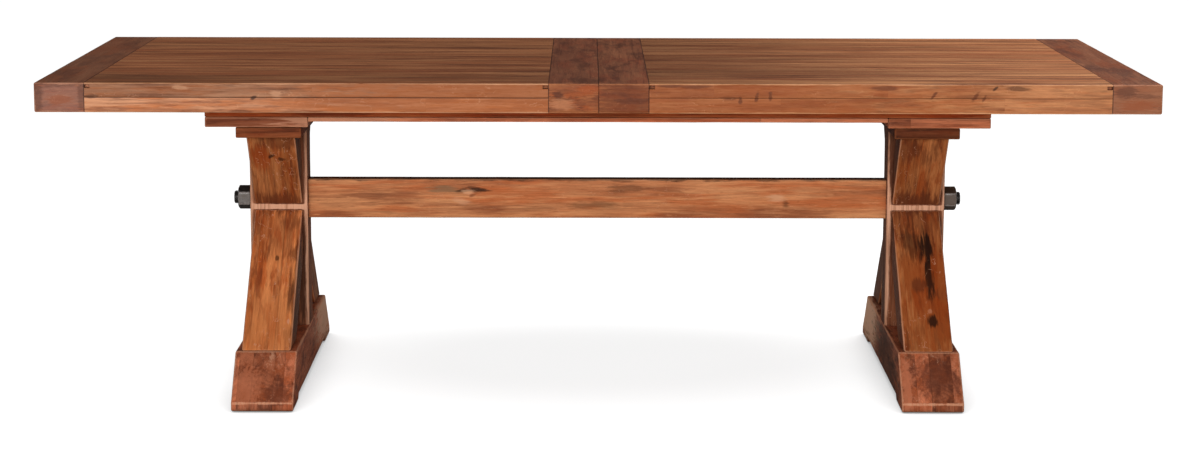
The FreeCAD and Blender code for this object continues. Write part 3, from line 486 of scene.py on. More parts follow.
# marks on the boards: colour, centre, half sizes, strength and, where it isn't upright, lean
marks = {
    "stretcherTimber": [
        # painted shade along the top face of the stretcher, under the table top
        ("char", (0, 0, 0.478), (2, 0.3, 0.01), 0.95),
        ("rust", (-0.262, 0, 0.44), (0.06, 0.05, 0.02), 0.6),
        ("ash", (-0.364, 0, 0.447), (0.06, 0.05, 0.014), 0.8),
        ("worn", (-0.325, 0, 0.419), (0.024, 0.05, 0.012), 0.35, -0.5),
        ("char", (-0.322, 0, 0.4465), (0.02, 0.05, 0.009), 0.8, 0.8),
        ("char", (-0.291, 0, 0.4475), (0.03, 0.05, 0.01), 0.95, -0.8),
        ("worn", (-0.31, 0, 0.442), (0.017, 0.05, 0.008), 0.5),
        ("dark", (-0.3, 0, 0.432), (0.01, 0.05, 0.006), 0.7, 0.8),
        ("dark", (-0.47, 0, 0.425), (0.06, 0.05, 0.014), 0.4),
        ("char", (-0.01, 0, 0.41), (0.095, 0.05, 0.011), 0.45),
        ("char", (0.07, 0, 0.45), (0.06, 0.05, 0.011), 0.5),
        ("dark", (0.165, 0, 0.449), (0.06, 0.05, 0.011), 0.6),
        ("worn", (0.43, 0, 0.428), (0.03, 0.05, 0.012), 0.45),
        ("char", (0.452, 0, 0.414), (0.012, 0.05, 0.009), 0.6),
    ],
    "legTimber": [
        # painted shade about the crotch of the left braces
        ("dark", (-0.761, -0.12, 0.38), (0.09, 0.1, 0.09), 0.4),
        ("pale", (-0.761, -0.3, 0.19), (0.1, 0.1, 0.11), 0.45),
        ("rust", (0.79, -0.24, 0.26), (0.075, 0.16, 0.2), 0.6),
        # painted shade about the crotch of the right braces
        ("dark", (0.75, -0.1, 0.395), (0.09, 0.1, 0.07), 0.5),
        # painted shade on the inner side of the left lower brace, beside the post
        ("char", (-0.7185, -0.22, 0.238), (0.006, 0.12, 0.06), 0.45),
        ("char", (-0.703, -0.2, 0.24), (0.012, 0.2, 0.16), 0.6),
        ("dark", (-0.712, -0.15, 0.313), (0.018, 0.1, 0.02), 0.65),
        ("char", (-0.755, -0.15, 0.303), (0.005, 0.1, 0.006), 0.7),
        ("worn", (-0.716, -0.28, 0.178), (0.004, 0.1, 0.006), 0.7),
        ("rust", (-0.79, -0.155, 0.54), (0.03, 0.08, 0.045), 0.7),
        ("char", (-0.765, -0.155, 0.545), (0.008, 0.08, 0.007), 0.8, 0.5),
        ("char", (-0.742, -0.15, 0.537), (0.01, 0.08, 0.005), 0.7, -0.4),
        # painted shade under the plates, at the tops of the upper braces
        ("dark", (-0.74, -0.17, 0.585), (0.06, 0.08, 0.026), 0.6),
        ("dark", (0.725, -0.17, 0.565), (0.03, 0.08, 0.045), 0.6),
        ("worn", (0.773, -0.285, 0.2), (0.006, 0.1, 0.005), 0.5),
        ("dark", (0.8, -0.24, 0.235), (0.024, 0.1, 0.014), 0.6),
        ("warm", (0.738, -0.19, 0.287), (0.026, 0.1, 0.055), 0.7),
        ("warm", (0.806, -0.21, 0.27), (0.014, 0.1, 0.07), 0.7),
        ("warm", (0.765, -0.31, 0.165), (0.06, 0.1, 0.05), 0.5),
        ("char", (0.75, -0.14, 0.35), (0.038, 0.1, 0.058), 0.6),
        ("char", (0.776, -0.14, 0.33), (0.02, 0.1, 0.038), 0.95),
        ("char", (0.778, -0.21, 0.27), (0.012, 0.1, 0.055), 0.9),
        ("dark", (0.75, -0.21, 0.25), (0.022, 0.1, 0.016), 0.7),
        ("char", (0.776, -0.29, 0.18), (0.012, 0.1, 0.014), 0.9),
        # painted shade where the braces cross
        ("dark", (-0.725, -0.1, 0.385), (0.03, 0.1, 0.03), 0.45),
        ("dark", (-0.761, -0.07, 0.418), (0.08, 0.1, 0.03), 0.7),
        ("dark", (0.761, -0.07, 0.418), (0.08, 0.1, 0.034), 0.8),
    ],
    "postTimber": [
        # painted shade on the post's front face, behind the brace
        ("char", (-0.708, -0.042, 0.24), (0.02, 0.03, 0.14), 0.7),
    ],
    "footTimber": [
        ("worn", (-0.747, -0.42, 0.112), (0.009, 0.1, 0.016), 0.55),
        ("dark", (-0.725, -0.44, 0.04), (0.04, 0.1, 0.03), 0.6),
        ("pale", (-0.8, -0.44, 0.06), (0.04, 0.1, 0.06), 0.55),
        ("pale", (0.703, -0.42, 0.06), (0.014, 0.1, 0.2), 0.8),
        ("dark", (0.775, -0.42, 0.08), (0.05, 0.1, 0.045), 0.6),
        ("char", (0.715, -0.38, 0.112), (0.014, 0.06, 0.009), 0.5),
        # painted reflection of the floor, lighter towards the rear of the feet's inner sides
        ("ash", (-0.688, 0.32, 0.085), (0.016, 0.26, 0.085), 0.8),
        ("ash", (0.688, 0.32, 0.085), (0.016, 0.28, 0.095), 1),
        # painted shade on the front of the inner sides of the feet
        ("char", (0.69, -0.12, 0.06), (0.012, 0.3, 0.09), 0.75),
        ("char", (-0.69, -0.12, 0.06), (0.012, 0.3, 0.09), 0.3),
    ],
    "rightEdgeTimber": [
        ("rust", (0.25, -0.53, 0.727), (0.6, 0.012, 0.09), 0.45),
        ("worn", (1.08, -0.53, 0.727), (0.26, 0.012, 0.09), 0.18),
        ("dark", (0.735, -0.53, 0.733), (0.006, 0.01, 0.01), 0.95, 0.7),
        ("dark", (0.828, -0.53, 0.733), (0.007, 0.01, 0.012), 0.95, 0.6),
        ("dark", (0.847, -0.53, 0.729), (0.005, 0.01, 0.01), 0.85, 0.5),
        ("char", (0.872, -0.53, 0.752), (0.005, 0.01, 0.007), 0.8, 0.8),
        ("char", (0.918, -0.53, 0.751), (0.03, 0.01, 0.005), 0.6),
        ("dark", (0.63, -0.53, 0.751), (0.036, 0.01, 0.006), 0.8),
        ("dark", (0.311, -0.53, 0.724), (0.005, 0.01, 0.01), 0.85),
        ("dark", (0.347, -0.53, 0.731), (0.005, 0.01, 0.012), 0.9, 0.2),
        ("dark", (0.377, -0.53, 0.732), (0.005, 0.01, 0.012), 0.9),
        ("dark", (0.287, -0.53, 0.727), (0.022, 0.01, 0.005), 0.6),
        ("dark", (0.153, -0.53, 0.755), (0.028, 0.01, 0.005), 0.85),
        ("dark", (0.212, -0.53, 0.753), (0.036, 0.01, 0.005), 0.8),
    ],
    "leftEdgeTimber": [
        ("rust", (-0.25, -0.53, 0.727), (0.5, 0.012, 0.09), 0.65),
        ("worn", (-1.12, -0.53, 0.727), (0.16, 0.012, 0.09), 0.1),
        ("worn", (-0.77, -0.53, 0.727), (0.14, 0.012, 0.05), 0.12),
        ("char", (-0.758, -0.53, 0.727), (0.008, 0.01, 0.006), 0.85, 0.6),
        ("char", (-1.113, -0.53, 0.73), (0.018, 0.01, 0.006), 0.6),
        ("dark", (-0.778, -0.53, 0.697), (0.035, 0.01, 0.004), 0.8),
        ("dark", (-0.64, -0.53, 0.697), (0.06, 0.01, 0.003), 0.7),
        ("dark", (-0.97, -0.53, 0.757), (0.06, 0.01, 0.003), 0.6),
        ("worn", (-0.708, -0.53, 0.736), (0.016, 0.01, 0.009), 0.4),
        ("worn", (-0.92, -0.53, 0.75), (0.022, 0.01, 0.007), 0.4),
    ],
    "seamTimber": [
        ("char", (0, 0, 0.727), (0.0017, 3, 0.3), 0.75),
        ("rust", (-0.022, -0.53, 0.748), (0.03, 0.01, 0.014), 0.8),
        ("rust", (0.062, -0.53, 0.727), (0.08, 0.012, 0.06), 0.25),
        ("dark", (-0.09, -0.53, 0.734), (0.013, 0.01, 0.011), 0.85),
        ("char", (0.075, -0.53, 0.722), (0.05, 0.01, 0.008), 0.45),
        ("dark", (0.062, -0.53, 0.727), (0.08, 0.012, 0.06), 0.5),
        ("worn", (-0.08, -0.53, 0.714), (0.036, 0.01, 0.015), 0.45),
        ("dark", (-0.056, 0, 0.764), (0.1, 0.9, 0.012), 0.4),
    ],
    "crossTimber": [
        ("pale", (1.185, -0.53, 0.727), (0.08, 0.012, 0.06), 0.6),
        ("dark", (1.185, 0, 0.764), (0.1, 0.9, 0.012), 0.3),
        ("pale", (-1.185, 0, 0.764), (0.1, 0.9, 0.012), 0.4),
        ("ash", (-1.185, -0.53, 0.727), (0.09, 0.012, 0.06), 0.45),
        ("dark", (-1.233, -0.53, 0.73), (0.014, 0.012, 0.06), 0.6),
        ("dark", (-1.19, -0.53, 0.757), (0.07, 0.012, 0.009), 0.5),
        ("dark", (-1.136, -0.53, 0.735), (0.009, 0.012, 0.05), 0.5),
        ("rust", (-1.185, -0.53, 0.722), (0.036, 0.012, 0.013), 0.6),
        ("dark", (1.158, -0.53, 0.743), (0.03, 0.012, 0.016), 0.65),
        ("dark", (1.205, -0.53, 0.734), (0.034, 0.012, 0.006), 0.45),
        ("rust", (1.19, -0.53, 0.713), (0.05, 0.012, 0.013), 0.6),
    ],
    "rightTopTimber": [
        ("dark", (0.15, 0, 0.76), (0.45, 0.9, 0.02), 0.14),
    ],
    "slideTimber": [
        ("worn", (-0.6, -0.24, 0.643), (0.15, 0.1, 0.05), 0.75),
    ],
}


def markColor(tree, name, color, shades, board):
    place = addNode(tree, "ShaderNodeTexCoord").outputs["Object"]
    for shade, centre, reach, strength, *lean in marks.get(name, ()):
        links = {"Place": place, "Centre": centre, "Size": reach, "Grain": board}
        links["Lean"] = lean[0] if lean else 0.0
        mark = fillGroup(tree, markGroup, links)["Mask"]
        color = blendColor(tree, times(tree, mark, strength), color, shades[shade])
    return color


def colorByFacing(tree, look, color, shades):
    facing = axesOf(tree, addNode(tree, "ShaderNodeNewGeometry").outputs["Normal"])
    if "flank" in look:
        # painted shade: the sides of the braces are darker, for the shade they stand in
        sideways = mathStep(tree, "ABSOLUTE", facing[0])
        sideShade = ease(tree, sideways, *look["flankFacing"], 0, look["flank"])
        color = blendColor(tree, sideShade, color, shades["char"])
    if "topDesaturation" in look:
        # the upper face is a little less saturated than the sides
        topSaturation = ease(tree, facing[2], *look["topDesaturationFacing"], 1, 1 - look["topDesaturation"])
        color = addNode(tree, "ShaderNodeHueSaturation", {"Saturation": topSaturation, "Color": color}).outputs[0]
    return color


def wearAndShadeColor(tree, look, color, shades, board, rubbed):
    # scuffs and worn edges down to bare wood, then dirt in the seams and painted shade in the corners
    scuff = fillGroup(tree, scuffGroup, {"Grain": board, "Amount": look["scuffs"]})["Mask"]
    color = blendColor(tree, scuff, color, shades["worn"])
    bare = blendColor(tree, layer(tree, board, *look["bareWood"]), shades["worn"], shades["pale"])
    color = blendColor(tree, times(tree, rubbed, look["rubbedShare"]), color, bare)
    seam = ease(tree, readLayer(tree, "seam"), *look["seamLevels"])
    color = blendColor(tree, times(tree, seam, look["seamShare"]), color, shades["char"])
    # painted shade where the wood is closed in by other parts
    if "crease" in look:
        corner = openness(tree, look["creaseReach"], look["creaseSamples"])
        cornerShade = ease(tree, corner, *look["creaseLevels"], look["crease"], 0)
        color = blendColor(tree, cornerShade, color, shades["char"])
    return color


def timberMaterial(name, finish):
    look = {**plainFinish, **finish}
    shades = shadesOf(look)
    material, tree, shader = newMaterial(name)
    board = readLayer(tree, "grain", "Vector")
    staves = fillGroup(tree, staveGroup, {"Grain": board, "Stave": look["stave"]})
    spread = mathStep(tree, "SUBTRACT", staves["Tone"], 0.5)
    tone = mathStep(tree, "MULTIPLY_ADD", spread, look["staveTone"], readLayer(tree, "tone"))
    links = {"Grain": staves["Grain"], "Tone": tone, "Figure": look["figure"]}
    links.update({label: shades[label.lower()] for label in grainColors})
    links.update({label: look[label.lower()] for label in grainAmounts})
    grain = fillGroup(tree, grainGroup, links)
    links = {"Wear": readLayer(tree, "wear"), "Grain": board, "Amount": look["wear"]}
    rubbed = fillGroup(tree, wearGroup, links)["Mask"]
    color = blendColor(tree, times(tree, staves["Joint"], look["joint"]), grain["Color"], shades["char"])
    color = markColor(tree, name, color, shades, board)
    color = colorByFacing(tree, look, color, shades)
    color = wearAndShadeColor(tree, look, color, shades, board, rubbed)
    tree.links.new(color, shader.inputs["Base Color"])
    rough = mathStep(tree, "ADD", grain["Gloss"], look["roughness"])
    rough = mathStep(tree, "MULTIPLY_ADD", rubbed, look["rubbedRoughness"], rough)
    tree.links.new(rough, shader.inputs["Roughness"])
    shader.inputs["Specular IOR Level"].default_value = look["shine"]
    links = {"Height": grain["Height"], "Distance": look["bump"], "Strength": look["bumpStrength"]}
    tree.links.new(addNode(tree, "ShaderNodeBump", links).outputs[0], shader.inputs["Normal"])
    return material


timber = {name: timberMaterial(name, finish) for name, finish in finishes.items()}
print("timber finishes made:", len(timber))


# modelling helpers for boards

axisX, axisY, axisZ = Vector((1, 0, 0)), Vector((0, 1, 0)), Vector((0, 0, 1))
alongX = (axisX, axisY, axisZ)
alongY = (axisY, axisX, axisZ)
alongZ = (axisZ, axisX, axisY)
acrossX = (axisX * 2.6, axisZ * 2.6, axisY)  # end grain, finer than the long grain

boardLook = {
    "mergeGap": 0.00002, "flatAngle": 0.02, "flushGap": 0.00005, "cutGap": 0.00001,
    "shortestEdge": 0.008, "spanShare": 0.98, "convexAngle": 0.1, "sharpAngle": 34,
    "loopShares": (0.45, 1.0), "bandLoop": 0.003, "bandSlack": 0.002, "endFacing": 0.7,
    "grainStart": (4, 0.06, 0.03), "anyTone": (0.3, 0.7), "toneSlope": 0.0,
    "seamShade": 0.0, "seamWidth": 0.004,
}


def mergeVerts(bm):
    bmesh.ops.remove_doubles(bm, verts=bm.verts[:], dist=boardLook["mergeGap"])


def boardMesh(nodeName):
    # the board as a clean mesh: the node's triangles merged and flat faces joined
    bm = bmesh.new()
    bm.from_mesh(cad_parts[nodeName].data)
    mergeVerts(bm)
    flat = boardLook["flatAngle"]
    bmesh.ops.dissolve_limit(bm, angle_limit=flat, verts=bm.verts[:], edges=bm.edges[:])
    return bm


def boxOf(verts):
    spans = list(zip(*(vert.co for vert in verts)))
    return Vector([min(values) for values in spans]), Vector([max(values) for values in spans])


def islandBoxes(bm):
    # boxes of the separate solids in one mesh
    seen = set()
    for first in bm.verts:
        if first in seen:
            continue
        seen.add(first)
        solid = [first]
        for vert in solid:
            others = {edge.other_vert(vert) for edge in vert.link_edges} - seen
            seen |= others
            solid.extend(others)
        yield boxOf(solid)


def sidesOf(edge, low, high):
    # which faces of a box both ends of an edge lie on, such as "x-z+"
    found = ""
    for axis, letter in enumerate("xyz"):
        for sign, limit in (("-", low), ("+", high)):
            if all(abs(vert.co[axis] - limit[axis]) < boardLook["flushGap"] for vert in edge.verts):
                found += letter + sign
    return found


def cornerEdges(bm, low, high, chosen=None):
    edges = []
    for edge in bm.edges:
        found = sidesOf(edge, low, high)
        if len(found) == 4 and (chosen is None or found in chosen):
            edges.append(edge)
    return edges


def outlineEdges(bm, low, high):
    # convex edges round a board that was cut to an outline and stands across X
    edges = []
    for edge in bm.edges:
        spans = abs(edge.verts[0].co.x - edge.verts[1].co.x) > boardLook["spanShare"] * (high.x - low.x)
        if edge.calc_length() < boardLook["shortestEdge"] or not (spans or "x" in sidesOf(edge, low, high)):
            continue
        if edge.is_manifold and edge.calc_face_angle_signed() > boardLook["convexAngle"]:
            edges.append(edge)
    return edges


def roundOver(bm, edges, radius, segments=3):
    # rounds the edges and gives back the lines where they were
    lines = [(edge.verts[0].co.copy(), edge.verts[1].co.copy()) for edge in edges]
    if edges:
        bmesh.ops.bevel(
            bm, geom=edges, offset=radius, offset_type="OFFSET", segments=segments, profile=0.5,
            affect="EDGES", clamp_overlap=False, material=-1,
        )
    return lines


def cutAt(bm, point, normal):
    geom = bm.verts[:] + bm.edges[:] + bm.faces[:]
    bmesh.ops.bisect_plane(bm, geom=geom, dist=boardLook["cutGap"], plane_co=point, plane_no=normal)


def facePlanes(bm, smallest):
    # one point and normal for each flat side of the board
    planes = {}
    for face in bm.faces:
        if face.calc_area() > smallest:
            key = tuple(round(value, 2) for value in face.normal)
            key += (round(face.normal.dot(face.verts[0].co), 4),)
            planes[key] = (face.verts[0].co.copy(), face.normal.copy())
    return list(planes.values())


def nearestLine(points, lines):
    nearest = np.full(len(points), 1.0)
    for start, end in lines:
        start = np.array(start)
        run = np.array(end) - start
        share = np.clip((points - start) @ run / max(run @ run, 1e-12), 0, 1)
        gap = np.linalg.norm(points - start - share[:, None] * run, axis=1)
        nearest = np.minimum(nearest, gap)
    return nearest


def sliceBoard(bm, planes, look):
    # loops beside the edges, slices along the board and loops round a worn band
    along = look["axes"][0]
    for point, normal in planes:
        for share in look["loopShares"]:
            cutAt(bm, point - normal * look["wearWidth"] * share, normal)
    spots = [along.dot(vert.co) for vert in bm.verts]
    first, last = min(spots), max(spots)
    count = max(2, round((last - first) / look["slice"]))
    for step in range(1, count):
        cutAt(bm, along * (first + (last - first) * step / count), along)
    for height in look.get("wornBand", ()):
        for shift in (-look["bandLoop"], 0.0, look["bandLoop"]):
            cutAt(bm, axisZ * (height + shift), axisZ)
    mergeVerts(bm)
    bm.normal_update()
    return first, last


def wearBoard(bm, lines, seams, start, tone, span, look):
    # dents along the worn edges, and layers for the wear, the tone and the seams
    along = look["axes"][0]
    first, last = span
    slack = look["bandSlack"]
    bandLow, bandHigh = look.get("wornBand", (math.inf, -math.inf))
    layers = {name: bm.verts.layers.float.new(name) for name in ("wear", "tone", "seam")}
    points = np.array([vert.co for vert in bm.verts])
    moves = []
    for vert, gap, seamGap in zip(bm.verts, nearestLine(points, lines), nearestLine(points, seams)):
        wear = max(0.0, 1 - gap / look["wearWidth"])
        rubbed = 0.5 + 0.5 * noise.noise(vert.co * look["dentScale"] + start)
        moves.append(vert.normal * -look["dent"] * wear * rubbed)
        if bandLow - slack < vert.co.z < bandHigh + slack:
            wear = max(wear, look["wornShare"])
        share = 2 * (along.dot(vert.co) - first) / (last - first) - 1
        vert[layers["wear"]] = wear
        vert[layers["tone"]] = tone + look["toneSlope"] * share
        vert[layers["seam"]] = look["seamShade"] * max(0.0, 1 - seamGap / look["seamWidth"])
    for vert, move in zip(bm.verts, moves):
        vert.co += move


def finishBoard(bm, lines, planes, name, look, seams=()):
    look = {**boardLook, **look}
    span = sliceBoard(bm, planes, look)
    low, high = boxOf(bm.verts)
    middle = (low + high) / 2
    pick = random.Random(name)
    start = Vector([pick.uniform(-reach, reach) for reach in look["grainStart"]])
    tone = look.get("tone", pick.uniform(*look["anyTone"]))
    wearBoard(bm, lines, seams, start, tone, span, look)
    # each board has its own piece of grain, and its ends show it from the end
    grainLayer = bm.loops.layers.float_vector.new("grain")
    for face in bm.faces:
        endFace = abs(face.normal.dot(look["axes"][0])) > look["endFacing"]
        axes = look.get("endAxes", look["axes"]) if endFace else look["axes"]
        for loop in face.loops:
            local = loop.vert.co - middle
            loop[grainLayer] = Vector([axis.dot(local) for axis in axes]) + start


def makePiece(bm, name, material, body, slot, nodeNames):
    for face in bm.faces:
        face.smooth = True
    for edge in bm.edges:
        edge.smooth = edge.is_manifold and edge.calc_face_angle(0) < math.radians(boardLook["sharpAngle"])
    mesh = bpy.data.meshes.new(name)
    bm.to_mesh(mesh)
    bm.free()
    piece = addObject(name, mesh)
    mesh.materials.append(material)
    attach(piece, body)
    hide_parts(*nodeNames)
    return piece


# top: planks, edge strips and cross boards of each half

plankLook = {
    "axes": alongX, "edgeRadius": 0.003, "seamRadius": 0.0009, "wearWidth": 0.006, "slice": 0.06,
    "dent": 0.0006, "dentScale": 30.0, "smallest": 0.002, "count": 7, "seamShade": 0.8,
    "edgeTurn": 0.8, "finishes": {"left": "topTimber", "right": "rightTopTimber"},
    "tones": {
        "left": (0.22, 0.43, 0.55, 0.48, 0.57, 0.44, 0.52),
        "right": (0.42, 0.28, 0.37, 0.31, 0.4, 0.29, 0.36),
    },
    "slopes": {"left": -0.3, "right": 0.25}, "edgeSlopes": {"left": -0.05, "right": 0.2},
}


def makeLongBoard(name, look, rims, joints, finish, side):
    # a board along the table, with worn rims and crisp joints to its neighbours
    low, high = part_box(name)
    bm = boardMesh(name)
    planes = facePlanes(bm, look["smallest"])
    lines = roundOver(bm, cornerEdges(bm, low, high, rims), look["edgeRadius"])
    seams = roundOver(bm, cornerEdges(bm, low, high, joints), look["seamRadius"], segments=2)
    finishBoard(bm, lines, planes, name, look, seams)
    return makePiece(bm, name + "_board", timber[finish], side + "_half", "top_planks", [name])


def makePlanks(side, look):
    outerFaces = {1: ends["front"], look["count"]: ends["rear"]}
    for number in range(1, look["count"] + 1):
        outer = outerFaces.get(number)
        rims = [outer + "z+"] if outer else []
        joints = [face + ("z-" if face == outer else "z+") for face in ends.values()]
        slope = look["edgeSlopes" if number == 1 else "slopes"][side]
        board = dict(look, tone=look["tones"][side][number - 1], toneSlope=slope)
        piece = makeLongBoard(f"{side}_plank_{number}", board, rims, joints, look["finishes"][side], side)
        if outer:
            # the long edge has been finished with the strip below it
            piece.data.materials.append(timber[side + "EdgeTimber"])
            outwards = -1 if number == 1 else 1
            for face in piece.data.polygons:
                face.material_index = int(face.normal.y * outwards > look["edgeTurn"])


stripLook = {
    "axes": alongX, "edgeRadius": 0.003, "seamRadius": 0.0008, "wearWidth": 0.006, "slice": 0.06,
    "dent": 0.0006, "dentScale": 30.0, "smallest": 0.001, "seamWidth": 0.003,
    "shades": {"left": 0.9, "right": 0.15}, "tones": {"left": 0.98, "right": 0.5},
    "slopes": {"left": -0.06, "right": 0.2},
}


def makeEdgeStrips(side, look):
    board = dict(look, tone=look["tones"][side], toneSlope=look["slopes"][side])
    board["seamShade"] = look["shades"][side]
    for end, face in ends.items():
        name = f"{side}_{end}_edge_strip"
        makeLongBoard(name, board, [face + "z-"], [face + "z+"], side + "EdgeTimber", side)


crossLook = {
    "axes": alongY, "endAxes": acrossX, "edgeRadius": 0.0035, "jointRadius": 0.0014, "seamRadius": 0.0009,
    "seamReach": 0.001, "seamHalf": 0.00005, "wearWidth": 0.007, "slice": 0.05,
    "dent": 0.0008, "dentScale": 26.0, "smallest": 0.003, "seamShade": 1.0, "seamWidth": 0.0045,
    "tones": {"left_end": 0.7, "left_seam": 0.42, "right_seam": 0.25, "right_end": 0.54},
    "finishes": {"end": "crossTimber", "seam": "seamTimber"},
}


def makeCrossBoards(side, sign, look):
    plankLow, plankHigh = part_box(side + "_plank_1")
    for kind in ("end", "seam"):
        name = f"{side}_{kind}_board"
        low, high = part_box(name)
        # the joint face is where the planks end, behind the tongue
        outwards = (kind == "end") == (sign > 0)
        if outwards:
            low.x = plankHigh.x
        else:
            high.x = plankLow.x
        joint, free = ("x-", "x+") if outwards else ("x+", "x-")
        bm = boardMesh(name)
        if kind == "seam":
            # the halves touch but for a hair
            seamFace = sign * look["seamHalf"]
            for vert in bm.verts:
                if abs(vert.co.x) < look["seamReach"]:
                    vert.co.x = seamFace
            low.x, high.x = (seamFace, high.x) if sign > 0 else (low.x, seamFace)
        planes = facePlanes(bm, look["smallest"])
        outer = ["y-z+", "y+z+", "y-z-", "y+z-"]
        inner = [joint + flank for flank in ("z+", "y-", "y+")]
        around = [free + flank for flank in ("z+", "y-", "y+", "z-")]
        # the edges at the middle seam stay crisp, those at the ends of the table are worn
        if kind == "end":
            outer += around
        else:
            roundOver(bm, cornerEdges(bm, low, high, around), look["seamRadius"], segments=2)
        lines = roundOver(bm, cornerEdges(bm, low, high, outer), look["edgeRadius"])
        seams = roundOver(bm, cornerEdges(bm, low, high, inner), look["jointRadius"], segments=2)
        tone = look["tones"][f"{side}_{kind}"]
        finishBoard(bm, lines, planes, name, dict(look, tone=tone), seams)
        finish = timber[look["finishes"][kind]]
        makePiece(bm, name + "_board", finish, side + "_half", "cross_boards", [name])


for side, sign in sides.items():
    makePlanks(side, plankLook)
    makeEdgeStrips(side, stripLook)
    makeCrossBoards(side, sign, crossLook)
print("top made")


# plain squared timbers: battens, runners, rails, ledgers, plates, caps, posts and stretcher

plainBar = {
    "axes": alongX, "radius": 0.002, "finish": "slideTimber", "slot": "slide_timber",
    "wearWidth": 0.007, "slice": 0.05, "dent": 0.0012, "dentScale": 24.0, "smallest": 0.0015,
}
barLooks = {
    "battens": {"axes": alongY, "radius": 0.0025},
    "runner": {},
    "rail": {"finish": "railTimber", "tone": 0.5},
    "ledger": {"radius": 0.0015, "tone": 1.45},
    "plate": {"radius": 0.0025},
    "cap": {"radius": 0.003, "finish": "capTimber", "tones": {"left": 0.98, "right": 0.28}},
    "post": {
        "axes": alongZ, "radius": 0.004, "finish": "postTimber", "slot": "base_timber",
        "wearWidth": 0.017, "wornBand": (0.4036, 0.4136), "wornShare": 0.85,
    },
    "stretcher": {"radius": 0.004, "finish": "stretcherTimber", "slot": "base_timber", "tone": 0.62},
}


def makeBar(nodeName, kind, body):
    look = {**plainBar, **barLooks[kind]}
    if "tones" in look:
        look["tone"] = look["tones"][nodeName.split("_")[0]]
    bm = boardMesh(nodeName)
    planes = facePlanes(bm, look["smallest"])
    edges = {}
    for low, high in islandBoxes(bm):
        edges.update(dict.fromkeys(cornerEdges(bm, low, high)))
    lines = roundOver(bm, list(edges), look["radius"])
    finishBoard(bm, lines, planes, nodeName, look)
    makePiece(bm, nodeName + "_timber", timber[look["finish"]], body, look["slot"], [nodeName])


for side in sides:
    makeBar(side + "_battens", "battens", side + "_half")
    for end in ends:
        makeBar(f"{side}_{end}_runner", "runner", side + "_half")
    makeBar(side + "_top_plate", "plate", "base")
    makeBar(side + "_cap", "cap", "base")
    makeBar(side + "_post", "post", "base")
for end in ends:
    makeBar(end + "_rail", "rail", "base")
    makeBar(end + "_ledger", "ledger", "base")
makeBar("stretcher", "stretcher", "base")
print("slide frame, posts and stretcher made")


# feet and braces, cut to an outline

plainShaped = {
    "endAxes": alongZ, "radius": 0.004, "finish": "legTimber", "wearWidth": 0.007,
    "slice": 0.04, "dent": 0.0014, "dentScale": 22.0, "smallest": 0.0012,
}
shapedLooks = {
    "foot": {"finish": "footTimber", "wearWidth": 0.008, "tones": {"left": 0.68, "right": 0.52}},
    "lower_brace": {"tones": {"left": 1.24, "right": 0.44}},
    "upper_brace": {"tones": {"left": 0.42, "right": 0.38}},
}


def slopeAxes(bm):
    # grain of a brace runs along its longest slanted edge
    longest = max(bm.edges, key=lambda edge: edge.calc_length())
    along = (longest.verts[0].co - longest.verts[1].co).normalized()
    if along.z < 0:
        along = -along
    return along, axisX, along.cross(axisX)


def makeShaped(nodeName, kind):
    look = {**plainShaped, **shapedLooks[kind]}
    look["tone"] = look["tones"][nodeName.split("_")[0]]
    low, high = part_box(nodeName)
    bm = boardMesh(nodeName)
    look["axes"] = alongY if kind == "foot" else slopeAxes(bm)
    planes = facePlanes(bm, look["smallest"])
    lines = roundOver(bm, outlineEdges(bm, low, high), look["radius"])
    finishBoard(bm, lines, planes, nodeName, look)
    makePiece(bm, nodeName + "_timber", timber[look["finish"]], "base", "base_timber", [nodeName])


for side in sides:
    makeShaped(side + "_foot", "foot")
    for end in ends:
        for level in ("lower", "upper"):
            makeShaped(f"{side}_{end}_{level}_brace", level + "_brace")
print("feet and braces made")


# metal and nylon: what they share, then what each has of its own

plainMetal = {
    "cloud": ((38, 38, 38), 4, 0.6, 0.42, 0.68), "scratch": ((40, 700, 90), 2, 0.5, 0.62, 0.7),
    "gritDetail": (4, 0.6), "gritLevels": (0.3, 0.7), "gritShade": (0.78, 1.2),
    "rubbedGrit": 0.8, "rubbedLevels": (0.4, 0.85), "rubbedRoughness": -0.12, "cloudRoughness": 0.14,
    "dustShare": 0.5, "scratchShare": 0.2, "rubbedShare": 0.75, "bumpStrength": 0.5,
    "flatShadeFacing": (0.55, 0.9), "flatShadeShare": 0.9, "middle": (-0.1, 0.1), "rightRust": 0.9, "rightFlatShade": 0.45,
}
metals = {
    "blackIron": {
        "base": (88, 80, 75), "bare": (146, 138, 134), "dust": (88, 72, 58), "flatShade": (20, 17, 15),
        "rust": (70, 50, 34), "metallic": 0.1, "roughness": 0.42, "grit": 240.0, "bump": 0.0003,
    },
    "blackThread": {
        "base": (30, 26, 24), "bare": (96, 90, 86), "dust": (46, 38, 32),
        "metallic": 0.3, "roughness": 0.4, "grit": 240.0, "bump": 0.0003,
    },
    "platedSteel": {
        "base": (150, 150, 148), "bare": (196, 194, 188), "dust": (108, 98, 84),
        "metallic": 0.9, "roughness": 0.32, "grit": 320.0, "bump": 0.0001,
    },
    "nylon": {
        "base": (52, 50, 48), "bare": (96, 94, 90), "dust": (86, 78, 68),
        "metallic": 0.0, "roughness": 0.5, "grit": 180.0, "bump": 0.0002,
    },
}


def flatShadeColor(tree, look, color, shades, place):
    # painted shade: the upper and lower flats darker, the front and rear ones as they are
    facing = axesOf(tree, addNode(tree, "ShaderNodeNewGeometry").outputs["Normal"])
    flatShade = mathStep(tree, "ABSOLUTE", facing[1])
    flatShade = ease(tree, flatShade, *look["flatShadeFacing"], look["flatShadeShare"], 0.0)
    # the right nut is browner, and has less painted shade
    along = axesOf(tree, place)[0]
    color = blendColor(tree, ease(tree, along, *look["middle"], 0, look["rightRust"]), color, shades["rust"])
    flatShade = times(tree, flatShade, ease(tree, along, *look["middle"], 1, look["rightFlatShade"]))
    return blendColor(tree, flatShade, color, shades["flatShade"])


